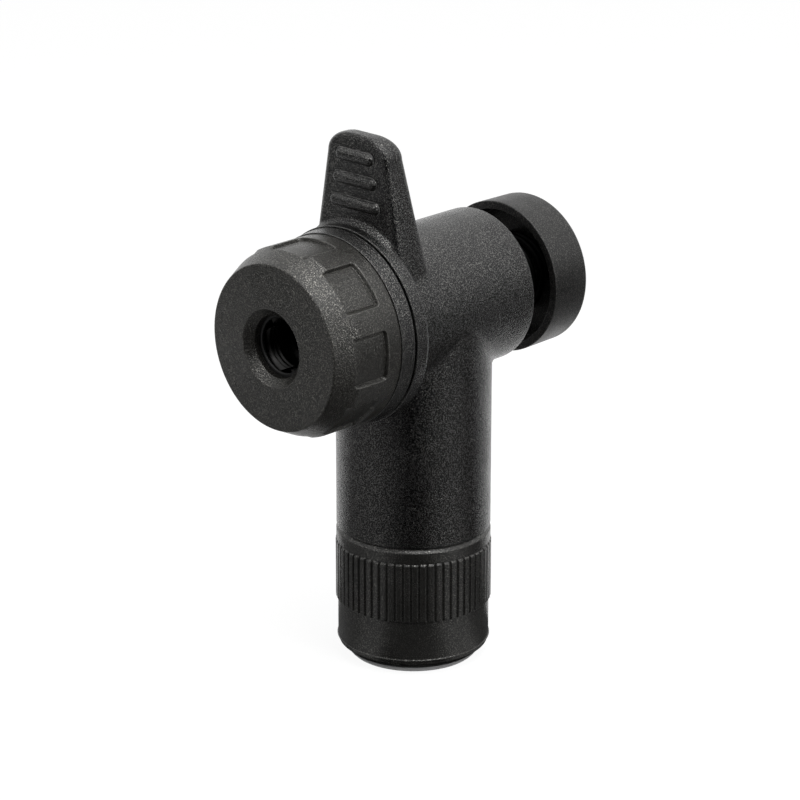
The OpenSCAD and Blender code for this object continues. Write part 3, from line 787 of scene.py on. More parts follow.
class Palette:
    """All finishes, named as their slots in the record, with their materials made on first use."""

    FINISHES: tuple[Finish, ...] = (
        Finish(
            "grained_black", Feel.GRAINED, (0.0015, 0.0015, 0.0015), rough=0.21, grain_scale=5700.0,
            grain_depth=0.00013, coarse=0.15, fleck=1.0, fleck_colour=(0.202, 0.199, 0.19), glint=1.0,
            edge_radius=0.0002, edge_light=0.9, edge_colour=(0.3, 0.3, 0.29), seam=MouldSeam(),
        ),
        Finish(
            "cap_black", Feel.GRAINED, (0.0232, 0.0224, 0.0198), rough=0.28, grain_scale=5800.0,
            grain_depth=0.00011, coarse=0.2, fleck=0.95, fleck_colour=(0.2, 0.195, 0.18), glint=0.95,
            edge_radius=0.0003, edge_light=1.0, edge_colour=(0.2, 0.195, 0.18),
        ),
        Finish(
            "button_black", Feel.MATTE, (0.013, 0.0128, 0.0124), rough=0.42, grain_scale=5800.0,
            grain_depth=0.00007, coarse=0.25, fleck=0.9, fleck_colour=(0.15, 0.147, 0.14), glint=0.9,
        ),
        Finish(
            "nut_black", Feel.MATTE, (0.0215, 0.021, 0.0196), rough=0.29, grain_scale=5800.0,
            grain_depth=0.00007, coarse=0.25, fleck=0.95, fleck_colour=(0.19, 0.187, 0.175), glint=0.95,
        ),
        Finish(
            "inner_black", Feel.MATTE, (0.003, 0.003, 0.003), rough=0.5, grain_scale=5000.0,
            grain_depth=0.00001,
        ),
        Finish(
            "foot_grey", Feel.MATTE, (0.55, 0.55, 0.555), rough=0.45, grain_scale=5000.0,
            grain_depth=0.00001, edge_colour=(0.3, 0.3, 0.3),
        ),
        Finish(
            "dark_steel", Feel.METAL, (0.035, 0.0345, 0.034), rough=0.32, grain_scale=6000.0,
            grain_depth=0.000008,
        ),
        Finish(
            "spring_steel", Feel.METAL, (0.012, 0.012, 0.012), rough=0.5, grain_scale=9000.0,
            grain_depth=0.000004, edge_colour=(0.05, 0.05, 0.05),
        ),
        Finish(
            "bright_steel", Feel.METAL, (0.55, 0.55, 0.56), rough=0.25, grain_scale=7000.0,
            grain_depth=0.000006, edge_colour=(0.8, 0.8, 0.8),
        ),
        Finish(
            "brass", Feel.METAL, (0.62, 0.42, 0.16), rough=0.30, grain_scale=7000.0,
            grain_depth=0.000006, edge_colour=(0.8, 0.6, 0.3),
        ),
        Finish(
            "black_rubber", Feel.RUBBER, (0.012, 0.012, 0.012), rough=0.68, grain_scale=4500.0,
            grain_depth=0.000014,
        ),
    )

    def __init__(self) -> None:
        """Builds the shared effects and keeps a place for the materials."""
        self.effects = Effects()
        self.finishes = {finish.name: finish for finish in self.FINISHES}
        self.made: dict[str, bpy.types.Material] = {}

    def material(self, slot: str) -> bpy.types.Material:
        """Gives the material of a slot, made once.

        Args:
            slot: the record's material slot.

        Returns:
            The material.
        """
        if slot not in self.made:
            self.made[slot] = self.finishes[slot].material(self.effects)
        return self.made[slot]


# ---------------------------------------------------------------- pieces


class Workshop:
    """Turns skins into finished pieces of the scene."""

    def __init__(self, palette: Palette) -> None:
        """Keeps the palette that pieces are dressed from."""
        self.palette = palette

    def piece(
        self, name: str, skin: Skin | bpy.types.Mesh, slot: str, body: str, replaces: Sequence[str]
    ) -> bpy.types.Object:
        """Makes a piece, dresses it and puts it on its body.

        Args:
            name: name of the piece.
            skin: its surfaces, or its finished mesh.
            slot: the record's material slot.
            body: the body of the frame that it rides on.
            replaces: CAD nodes that it stands for.

        Returns:
            The object.
        """
        mesh = skin.mesh(name) if isinstance(skin, Skin) else skin
        made = linked(name, mesh)
        mesh.materials.clear()
        mesh.materials.append(self.palette.material(slot))
        weighted = made.modifiers.new("Even shading", "WEIGHTED_NORMAL")
        weighted.keep_sharp = True
        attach(made, body)
        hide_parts(*replaces)
        LOG.info("%s: %d faces on body %s", name, len(mesh.polygons), body)
        return made

    @staticmethod
    def carve(name: str, base: Skin, joined: Sequence[Skin], cut: Sequence[Skin]) -> bpy.types.Mesh:
        """Joins closed skins to one solid and cuts others out of it.

        Args:
            name: name of the mesh.
            base: the first solid.
            joined: solids that are added.
            cut: solids that are taken away.

        Returns:
            The carved mesh, shaded smooth except at sharp edges.
        """
        work = linked(name, base.mesh(name))
        helpers = [work]
        for operation, skins in (("UNION", joined), ("DIFFERENCE", cut)):
            for skin in skins:
                helper = linked("helper", skin.mesh("helper"))
                helpers.append(helper)
                step = work.modifiers.new(operation, "BOOLEAN")
                step.operation, step.solver, step.object = operation, "MANIFOLD", helper
        bpy.context.view_layer.update()
        carved = bpy.data.meshes.new_from_object(work.evaluated_get(bpy.context.evaluated_depsgraph_get()))
        carved.name = name + "_carved"
        for helper in helpers:
            bpy.data.objects.remove(helper)
        cleaned = bmesh.new()
        cleaned.from_mesh(carved)
        bmesh.ops.remove_doubles(cleaned, verts=cleaned.verts, dist=MERGE_GAP)
        bmesh.ops.dissolve_degenerate(cleaned, dist=MERGE_GAP, edges=cleaned.edges)
        cleaned.to_mesh(carved)
        cleaned.free()
        return finish_shading(carved)


@dataclass
class BodyMoulding:
    """Barrel, neck, flange and finger tab, moulded in one."""

    barrel_r: float = 11.05
    barrel_back: float = -13.0
    barrel_columns: int = 240
    bore_r: float = 9.65
    bore_bevel: float = 0.2
    flange_r: float = 13.9
    flange_back: float = 11.0
    flange_front: float = 13.65
    # How far behind the flange's back the ground under the tab starts to rise, and over what length.
    flange_rise: tuple[float, float] = (0.9, 1.8)
    nose_r: float = 10.3
    nose_front: float = 17.4
    web_front: float = 6.0
    web_back: float = -3.4
    spout_hole_r: float = 3.35
    pin_hole_r: float = 1.48
    pin_offset: float = 7.45
    neck_r: float = 11.0
    neck_bottom: float = 19.5
    neck_top: float = 51.3
    neck_columns: int = 216
    spigot_bottom: float = 5.5
    spigot_r: float = 9.7
    thread_depth: float = 0.4
    # How far inside the spigot's ends the thread starts and stops.
    thread_ends: tuple[float, float] = (0.6, 1.2)
    row_gap: float = 1.6
    fillet_reach: float = 1.9
    fillet_sunk: float = 0.96
    fillet_ends: float = 88.5
    fillet_rows: int = 119
    # Degrees at which the quarter circle of the corner starts and ends, and its points.
    fillet_arc: tuple[float, float, int] = (95.0, 175.0, 17)
    tab_top: float = 26.4
    tab_front: float = 11.5
    tab_t: float = 3.9
    tab_half: float = 5.9
    tab_taper: float = 0.17
    tab_round: float = 3.0
    tab_edge: float = 1.4
    tab_lean: float = 0.13
    tab_fillet: float = 0.8
    front_fillet: float = 1.3
    foot_sunk: float = 0.03
    foot_guess: float = 12.0
    foot_rounds: int = 8
    # Height whose outline the tab's hidden root takes, how far it is moved out, and the root's height.
    tab_root: tuple[float, float, float] = (8.4, -0.4, 4.4)
    # How far the tip draws in at the sides, the back and the front, and the share its edge loses.
    tip_draw: tuple[float, float, float, float] = (4.25, 1.87, 0.74, 0.6)
    # Rows of the tab's foot, its walls and its tip.
    tab_rows: tuple[int, int, int] = (12, 15, 12)
    tab_step: float = 7.5
    rib_count: int = 3
    rib_top: float = 23.4
    rib_pitch: float = 3.3
    rib_r: float = 0.95
    rib_half: float = 2.6
    rib_sunk: float = 0.3
    rib_steps: int = 17
    rib_columns: int = 32
    socket_columns: int = 96
    pin_columns: int = 48
    # Radius and height of the hose's socket, from its mouth up to the air channel.
    hose_socket: tuple[tuple[float, float], ...] = (
        (7.06, 4.5), (7.06, 5.5), (5.1, 8.9), (5.1, 21.1), (4.55, 21.1), (4.55, 29.95), (2.4, 29.95),
    )

    def barrel(self) -> Skin:
        """The barrel with its flange and nose, turned from one line.

        Returns:
            The closed surface.
        """
        line = rounded(
            [
                (0, self.barrel_back), (self.barrel_r, self.barrel_back, 0.32),
                (self.barrel_r, self.flange_back, 0.5), (self.flange_r, self.flange_back, 0.95),
                (self.flange_r, self.flange_front, 0.08), (self.nose_r, self.flange_front),
                (self.nose_r, self.nose_front, 0.2), (0, self.nose_front),
            ],
            6,
        )
        return turned(refined(line, self.row_gap), Axis.BARREL, self.barrel_columns)

    def neck(self) -> Skin:
        """The neck and its threaded spigot, turned from one line with a screw groove.

        Its columns stand a quarter step round, so that none meets a column of the barrel.

        Returns:
            The closed surface.
        """
        line = rounded(
            [
                (0, self.spigot_bottom), (self.spigot_r, self.spigot_bottom, 0.3),
                (self.spigot_r, self.neck_bottom), (self.neck_r, self.neck_bottom, 0.25),
                (self.neck_r, self.neck_top), (0, self.neck_top),
            ]
        )
        line = refined(line, THREAD_ROW_GAP, self.spigot_bottom + 0.4, self.neck_bottom - 0.1)
        start, end = self.spigot_bottom + self.thread_ends[0], self.neck_bottom - self.thread_ends[1]
        thread = Thread(self.spigot_r, start, end, self.thread_depth)
        columns = (np.arange(self.neck_columns) + 0.25) * FULL_TURN / self.neck_columns
        return turned(refined(line, self.row_gap), Axis.NECK, columns, change=thread.cut)

    def corner_fillets(self) -> list[Skin]:
        """The hollow corners of barrel and neck, in front and behind.

        At an angle a round the neck the corner lies neck_r times the cosine of a from the
        axis. A quarter circle of a fixed share of that distance fills it, so that it fades
        out at the sides, where the two cylinders touch.

        Returns:
            Two closed surfaces.
        """
        share = self.fillet_reach / self.neck_r
        round_neck = np.radians(np.linspace(-self.fillet_ends, self.fillet_ends, self.fillet_rows))[:, None]
        turn = np.radians(np.linspace(*self.fillet_arc))
        across = np.append(1 + share + share * np.cos(turn), self.fillet_sunk)[None, :]
        down = np.append(-1 - share + share * np.sin(turn), -self.fillet_sunk)[None, :]
        depth = self.neck_r * np.cos(round_neck)
        x = np.broadcast_to(self.neck_r * np.sin(round_neck), (depth * across).shape)
        height = AXIS_HEIGHT + depth * down
        return [capped(np.stack([x, side * depth * across, height], axis=-1)) for side in (1, -1)]

    def tab_inset(self, height: Array) -> Array:
        """How far the tab has drawn in: a quarter circle from 0 at the shoulder to 1 at the tip."""
        share = np.clip((height - (self.tab_top - self.tab_round)) / self.tab_round, 0, 1)
        return 1 - np.sqrt(np.maximum(0, 1 - share**2))

    def tab_outline(self, height: Array, grow: Array | float, spots: Array) -> tuple[Array, Array]:
        """The tab's rounded outline at heights above the barrel's axis.

        A point is its spot's place between the corner centres plus the edge radius along
        the spot's direction. The outline widens steadily from the shoulder down.

        Args:
            height: heights, one for each point.
            grow: how far the outline is moved outwards.
            spots: side share, depth share and direction of each point of the outline.

        Returns:
            Sideways and forward places.
        """
        inset = self.tab_inset(height)
        below = np.maximum(0, self.tab_top - self.tab_round - height)
        half = self.tab_half + self.tab_taper * below - self.tip_draw[0] * inset
        back = self.tab_front - self.tab_t - self.tab_lean * below + self.tip_draw[1] * inset
        front = self.tab_front - self.tip_draw[2] * inset
        edge = self.tab_edge * (1 - self.tip_draw[3] * inset)
        out = edge + grow
        x = spots[0] * (half - edge) + out * np.cos(spots[2])
        forward = (front + back) / 2 + spots[1] * ((front - back) / 2 - edge) + out * np.sin(spots[2])
        return x, forward

    def under_height(self, x: Array, forward: Array) -> Array:
        """Height of what the tab stands on: a circle whose radius rises from barrel to flange.

        Args:
            x: places sideways.
            forward: places along the barrel.

        Returns:
            Heights above the barrel's axis.
        """
        before, span = self.flange_rise
        share = eased(np.clip((forward - self.flange_back + before) / span, 0, 1))
        radius = self.barrel_r + (self.flange_r - self.barrel_r) * share
        return np.sqrt(np.maximum(0.01, radius**2 - x**2))

    @staticmethod
    def tab_spots() -> Array:
        """Spots round the tab's outline: ten steps round each corner and eight along each side.

        A corner's spots stay at its centre and turn a quarter round. A side's go from centre
        to centre and face one way.

        Returns:
            Side share, depth share and direction, three by spots.
        """
        corner, side = np.linspace(0, 1, 11), np.linspace(0, 1, 9)[1:-1]
        signs = np.array([[1, 1], [-1, 1], [-1, -1], [1, -1], [1, 1]], float)
        parts = []
        for quarter, (here, after) in enumerate(zip(signs[:-1], signs[1:])):
            facing = math.pi / 2 * (quarter + corner)
            parts.append(np.stack([np.full(len(corner), here[0]), np.full(len(corner), here[1]), facing]))
            place = here[:, None] + (after - here)[:, None] * side
            parts.append(np.stack([place[0], place[1], np.full(len(side), math.pi / 2 * (quarter + 1))]))
        return np.concatenate(parts, axis=1)

    def finger_tab(self) -> Skin:
        """The tab, as one grid from inside the barrel up to the tip.

        Its foot is a quarter circle outwards and down onto what the tab stands on: at a
        turn t the outline has grown by the fillet times (1 - cosine t) and stands over the
        surface by the fillet times (1 - sine t), less a hair at its lowest row, which sinks
        it in. Above it the walls rise to the shoulder, and the tip closes along a quarter
        circle. Where the fillet starts is found in rounds from a first guess, as its height
        and the outline's width depend on each other.

        Returns:
            The closed surface.
        """
        spots = self.tab_spots()
        fillet = self.tab_fillet + (self.front_fillet - self.tab_fillet) * np.maximum(0, np.sin(spots[2]))
        start = np.full(spots.shape[1], self.foot_guess)
        for _ in range(self.foot_rounds):
            start = self.under_height(*self.tab_outline(start, 0, spots)) + fillet
        shoulder = self.tab_top - self.tab_round
        wide_at, grown, deep_at = self.tab_root
        sunk = self.tab_outline(np.full_like(start, wide_at), grown, spots)
        rows = [np.stack([sunk[0], sunk[1], np.full_like(start, deep_at)])]
        for turn in np.radians(np.linspace(90, self.tab_step, self.tab_rows[0])):
            x, forward = self.tab_outline(start, fillet * (1 - math.cos(turn)), spots)
            lift = fillet * (1 - math.sin(turn)) - self.foot_sunk * turn / (math.pi / 2)
            rows.append(np.stack([x, forward, self.under_height(x, forward) + lift]))
        heights = [start + (shoulder - start) * share for share in np.linspace(0, 1, self.tab_rows[1])]
        tip = np.sin(np.radians(np.linspace(self.tab_step, 90, self.tab_rows[2])))
        heights += [np.full_like(start, shoulder + self.tab_round * share) for share in tip]
        rows += [np.stack([*self.tab_outline(height, 0, spots), height]) for height in heights]
        made = np.stack(rows)
        return capped(np.stack([made[:, 0], -made[:, 1], AXIS_HEIGHT + made[:, 2]], axis=-1))

    def grip_ribs(self) -> list[Skin]:
        """Round-ended ribs across the tab's front, each a half circle turned about its own line.

        Returns:
            A closed surface for each rib.
        """
        ribs = []
        turn = np.linspace(-90, 90, self.rib_steps)
        turn = np.radians(np.concatenate([turn[turn < 0], [0.0, 0.0], turn[turn > 0]]))
        radius = (self.rib_r * np.cos(turn))[1:-1, None]
        around = np.linspace(0, FULL_TURN, self.rib_columns, endpoint=False)[None, :]
        y = -(self.tab_front - self.rib_sunk)
        for index in range(self.rib_count):
            height = self.rib_top - index * self.rib_pitch
            half = self.rib_half + index * self.rib_pitch * self.tab_taper
            along = self.rib_r * np.sin(turn) + np.where(np.arange(len(turn)) < len(turn) / 2, -half, half)
            x = np.broadcast_to(along[1:-1, None], (radius * around).shape)
            up = AXIS_HEIGHT + height + radius * np.sin(around)
            grid = np.stack([x, y + radius * np.cos(around), up], axis=-1)
            middle, tip = np.array([0, y, AXIS_HEIGHT + height]), np.array([half + self.rib_r, 0, 0])
            ribs.append(Skin().add(grid, middle - tip, middle + tip))
        return ribs

    def bores(self) -> list[Skin]:
        """Everything that is hollow: two chambers, spout hole, hose socket, air channel and pin holes.

        Returns:
            Closed surfaces that are cut out.
        """
        front_end, back_end = self.nose_front + CUT_PAST, self.barrel_back - CUT_PAST
        wide = self.bore_r + self.bore_bevel
        front = [
            (0, 0), (self.spout_hole_r, 0), (self.spout_hole_r, self.web_front),
            (self.bore_r, self.web_front, 0.4), (self.bore_r, front_end), (0, front_end),
        ]
        back = [
            (0, back_end), (wide, back_end), (wide, self.barrel_back),
            (self.bore_r, self.barrel_back + self.bore_bevel), (self.bore_r, self.web_back, 0.4),
            (0, self.web_back),
        ]
        inlet, channel = self.hose_socket[0], self.hose_socket[-1]
        hose = [(0, inlet[1]), *self.hose_socket, (channel[0], AXIS_HEIGHT), (0, AXIS_HEIGHT)]
        cutters = [turned(rounded(line), Axis.BARREL, self.barrel_columns) for line in (front, back)]
        cutters.append(turned(rounded(hose), Axis.NECK, self.socket_columns))
        low, high = self.web_back - CUT_PAST, self.web_front + CUT_PAST
        pin = np.array([[0, low], [self.pin_hole_r, low], [self.pin_hole_r, high], [0, high]])
        for side in (-self.pin_offset, self.pin_offset):
            hole = turned(pin, Axis.BARREL, self.pin_columns)
            hole.points = [points + np.array([side, 0, 0]) for points in hole.points]
            cutters.append(hole)
        return cutters

    def build(self, shop: Workshop) -> None:
        """Joins the solids, cuts the bores and dresses the moulding.

        Args:
            shop: makes and dresses the piece.
        """
        joined = [self.neck(), *self.corner_fillets(), self.finger_tab(), *self.grip_ribs()]
        mesh = shop.carve("body_shell", self.barrel(), joined, self.bores())
        shop.piece("body_shell", mesh, "grained_black", "shell", ["body"])


@dataclass
class JawCage:
    """Cage that screws onto the body's nose and guides the jaws; its flange is the ring that shows."""

    ring_r: float = 13.7
    ring_back: float = 13.95
    ring_front: float = 16.15
    ring_front_r: float = 13.45
    cage_r: float = 11.6
    cage_in: float = 5.63
    nose_in: float = 10.35
    floor_back: float = 17.5
    floor_front: float = 18.6
    cage_front: float = 24.9
    slot_r: float = 10.0
    slot_half: float = 3.0
    garter_half: float = 0.55
    garter_out: float = 10.3
    garter_in: float = 8.4
    thread_depth: float = 0.35
    thread_start: float = 0.6
    thread_bevel: float = 0.3
    columns: int = 216
    groove_columns: int = 144

    def turned_cage(self) -> Skin:
        """The cage without its slots, turned from one line with its outer thread.

        Returns:
            The closed surface.
        """
        line = rounded(
            [
                (self.nose_in, self.ring_back), (self.ring_r, self.ring_back, 0.06),
                (self.ring_front_r, self.ring_front, 0.06), (self.cage_r, self.ring_front),
                (self.cage_r, self.cage_front, 0.2), (self.cage_in, self.cage_front, 0.1),
                (self.cage_in, self.floor_back, 0.1), (self.nose_in, self.floor_back),
            ],
            4, ring=True,
        )
        line = refined(line, THREAD_ROW_GAP, self.ring_front + 0.2, self.cage_front - 0.2, ring=True)
        start = self.ring_front + self.thread_start
        thread = Thread(self.cage_r, start, self.cage_front, self.thread_depth, self.thread_bevel)
        return turned(line, Axis.BARREL, self.columns, ring=True, change=thread.cut)

    def build(self, shop: Workshop) -> None:
        """Turns the cage, cuts the jaw slots and the garter spring's groove, and dresses it.

        Args:
            shop: makes and dresses the piece.
        """
        low = (0, -self.slot_half, self.floor_front)
        high = (self.slot_r, self.slot_half, self.cage_front + CUT_PAST)
        cut = [block(low, high, barrel_turn(jaw.angle())) for jaw in Jaw]
        start, end = GARTER_AT - self.garter_half, GARTER_AT + self.garter_half
        groove = [
            (self.garter_in, start), (self.garter_out, start), (self.garter_out, end), (self.garter_in, end)
        ]
        cut.append(turned(rounded(groove, ring=True), Axis.BARREL, self.groove_columns, ring=True))
        mesh = shop.carve("jaw_cage_ring", self.turned_cage(), (), cut)
        shop.piece("jaw_cage_ring", mesh, "grained_black", "shell", ["jaw_cage"])


@dataclass
class FrontCap:
    """Screw cap with a domed face, a countersunk valve hole and grip recesses round its side."""

    cap_r: float = 13.3
    cap_back: float = 16.2
    cap_front: float = 27.6
    cap_in: float = 11.68
    cap_inner: float = 25.55
    hole_r: float = 4.35
    sink_r: float = 5.5
    sink_depth: float = 1.15
    taper_len: float = 2.8
    land_bevel: float = 0.9
    face_r: float = 11.55
    face_dome: float = 0.4
    face_edge: float = 0.3
    recess_count: int = 8
    recess_angle: float = 30.0
    recess_r: float = 12.9
    recess_start: float = 18.6
    recess_corner: float = 0.45
    wall_slope: float = 0.08
    groove_depth: float = 0.28
    groove_inset: float = 0.2
    groove_half: float = 0.1
    groove_fade: float = 0.2
    thread_depth: float = 0.25
    # How far inside the bore's ends the thread starts and stops.
    thread_ends: tuple[float, float] = (0.3, 0.4)
    row_gap: float = 0.025
    row_reach: float = 0.014
    side_gap: float = 0.5
    bore_skip: int = 4
    # Rows and columns across a recess wall, as distances from its middle into the recess.
    wall_rows: tuple[float, ...] = (-0.2, -0.08, -0.04, 0.0, 0.04, 0.08, 0.14, 0.2, 0.26, 0.34, 0.45, 0.6)
    wall_columns: tuple[float, ...] = (-0.24, -0.08, -0.04, 0.0, 0.04, 0.08, 0.14, 0.2, 0.26, 0.34, 0.6)
    # Degrees from a recess wall to the columns on its floor and on the land beside it.
    floor_columns: tuple[float, ...] = (4.0, 2.6, 1.6)
    land_columns: tuple[float, ...] = (2.2, 4.2)

    def line(self) -> Array:
        """The cap's section as a closed line, finer where a recess starts and where the taper cuts it.

        The line is made dense first. Then its side keeps only the rows within reach of the
        wanted places, and its bore one row in a few.

        Returns:
            (radius, along) rows.
        """
        edge = self.cap_front - self.face_dome
        taper = edge - self.taper_len
        land = taper - self.land_bevel
        corners = rounded(
            [
                (self.cap_in, self.cap_back), (self.cap_r, self.cap_back, 0.07),
                (self.cap_r, land, 0.3), (self.recess_r - 0.02, taper, 0.12),
                (self.face_r, edge, self.face_edge), (self.sink_r, self.cap_front, 0.12),
                (self.hole_r, self.cap_front - self.sink_depth, 0.06), (self.hole_r, self.cap_inner, 0.06),
                (self.cap_in, self.cap_inner),
            ],
            8, ring=True,
        )
        fine = refined(corners, self.row_gap, self.recess_start - 3.0, taper - 0.03, ring=True)
        radius, along = fine[:, 0], fine[:, 1]
        wanted = np.concatenate([
            np.arange(self.cap_back + 0.4, self.recess_start - 0.3, self.side_gap),
            self.recess_start + np.array(self.wall_rows),
            np.arange(self.recess_start + 1.0, land - 0.3, self.side_gap),
            np.arange(land - 0.2, taper, 0.1),
        ])
        on_side = (radius > self.cap_in + 0.02) & (along > self.cap_back + 0.2) & (along < taper - 0.05)
        near = np.abs(along[:, None] - wanted[None, :]).min(axis=1) < self.row_reach
        in_bore = (radius < self.cap_in + 0.001) & (along > self.cap_back + 0.01)
        in_bore &= along < self.cap_inner - 0.01
        spare = in_bore & (np.arange(len(fine)) % self.bore_skip > 0)
        return fine[(~on_side | near) & ~spare]

    def window_distance(self, along: Array, angle: Array) -> Array:
        """Distance to the nearest recess, as that to a rectangle with round corners, open in front.

        Args:
            along: places along the barrel.
            angle: angles round it, in radians.

        Returns:
            Distances along the cap's side in millimetres, less than 0 inside a recess.
        """
        pitch = FULL_TURN / self.recess_count
        local = (angle + pitch / 2) % pitch - pitch / 2
        half = math.radians(self.recess_angle / 2)
        across = np.abs(local) * self.cap_r - half * self.cap_r + self.recess_corner
        before = self.recess_start + self.recess_corner - along
        outside = np.hypot(np.maximum(across, 0), np.maximum(before, 0))
        return outside + np.minimum(np.maximum(across, before), 0) - self.recess_corner

    def recess(self, radius: Array, along: Array, angle: Array) -> Array:
        """Lowers the side to the recess floors, with steep walls, and cuts the thread in the bore.

        The floor share falls from 1 to 0 across the wall, and a bell-shaped groove runs
        along the wall's foot.

        Args:
            radius: the section's radius.
            along: places along the barrel.
            angle: angles round it, in radians.

        Returns:
            The changed radius.
        """
        distance = self.window_distance(along, angle)
        share = eased(np.clip(0.5 - distance / (2 * self.wall_slope), 0, 1))
        depth = np.maximum(0, radius - self.recess_r)
        bell = np.exp(-(((distance + self.groove_inset) / self.groove_half) ** 2))
        groove = self.groove_depth * bell * np.clip(depth / self.groove_fade, 0, 1)
        lowered = radius - np.where(radius > self.cap_in + 0.3, share * depth + groove, 0)
        start, end = self.cap_back + self.thread_ends[0], self.cap_inner - self.thread_ends[1]
        return Thread(self.cap_in, start, end, -self.thread_depth).cut(lowered, along, angle)

    def columns(self) -> Array:
        """Angles round the cap, close together at the recess walls.

        Returns:
            The angles in radians.
        """
        half, sector = self.recess_angle / 2, 360 / self.recess_count
        steps = np.degrees(np.array(self.wall_columns) / self.cap_r)
        near, land = half - np.array(self.floor_columns), half + np.array(self.land_columns)
        floor = np.concatenate([np.linspace(0, near[0], 5)[:-1], near])
        side = np.concatenate([floor, half - steps[::-1], land])
        side = np.unique(np.round(side, 4))
        one = np.concatenate([-side[::-1][:-1], side, [180 / self.recess_count]])
        return np.radians(np.concatenate([one + sector * i for i in range(self.recess_count)]))

    def build(self, shop: Workshop) -> None:
        """Turns the cap with its recesses and dresses it."""
        skin = turned(self.line(), Axis.BARREL, self.columns(), ring=True, change=self.recess)
        shop.piece("cap_shell", skin, "cap_black", "cap", ["front_cap"])


@dataclass
class MouthLip:
    """Slip ring behind the cap's front wall, with a rounded lip that closes round the valve hole."""

    outer_r: float = 11.38
    lip_r: float = 3.85
    lip_share: float = 0.98  # its rounding over half the ring's thickness
    back: float = 25.0
    front: float = 25.5
    columns: int = 120

    def build(self, shop: Workshop) -> None:
        """Turns the ring with its half-round lip and dresses it.

        Args:
            shop: makes and dresses the piece.
        """
        lip = (self.front - self.back) / 2 * self.lip_share
        line = rounded(
            [
                (self.outer_r, self.back, 0.05), (self.outer_r, self.front, 0.05),
                (self.lip_r, self.front, lip), (self.lip_r, self.back, lip),
            ],
            8, ring=True,
        )
        skin = turned(line, Axis.BARREL, self.columns, ring=True)
        shop.piece("mouth_lip", skin, "inner_black", "cap_thread", ["cap_slip_ring"])


@dataclass
class ReleaseButton:
    """Thumb button: a cup with a hub that takes the push rod."""

    button_r: float = 11.0
    button_draft: float = 0.1
    skirt_front: float = -17.5
    cup_floor: float = -22.2
    button_back: float = -24.5
    wall: float = 1.15
    hub_r: float = 4.0
    hub_h: float = 2.4
    socket_r: float = 2.05
    socket_depth: float = 1.0
    row_gap: float = 2.0
    columns: int = 216

    def build(self, shop: Workshop) -> None:
        """Turns the button from one line and dresses it.

        Args:
            shop: makes and dresses the piece.
        """
        inner, hub_top = self.button_r - self.wall, self.cup_floor + self.hub_h
        socket_floor = self.cup_floor - self.socket_depth
        line = rounded(
            [
                (0, self.button_back), (self.button_r - self.button_draft, self.button_back, 0.75),
                (self.button_r, self.skirt_front, 0.16), (inner, self.skirt_front, 0.1),
                (inner, self.cup_floor, 0.4), (self.hub_r, self.cup_floor, 0.3),
                (self.hub_r, hub_top, 0.2), (self.socket_r, hub_top, 0.1),
                (self.socket_r, socket_floor), (0, socket_floor),
            ],
            6,
        )
        skin = turned(refined(line, self.row_gap), Axis.BARREL, self.columns)
        shop.piece("button_cup", skin, "button_black", "button", ["rear_button"])


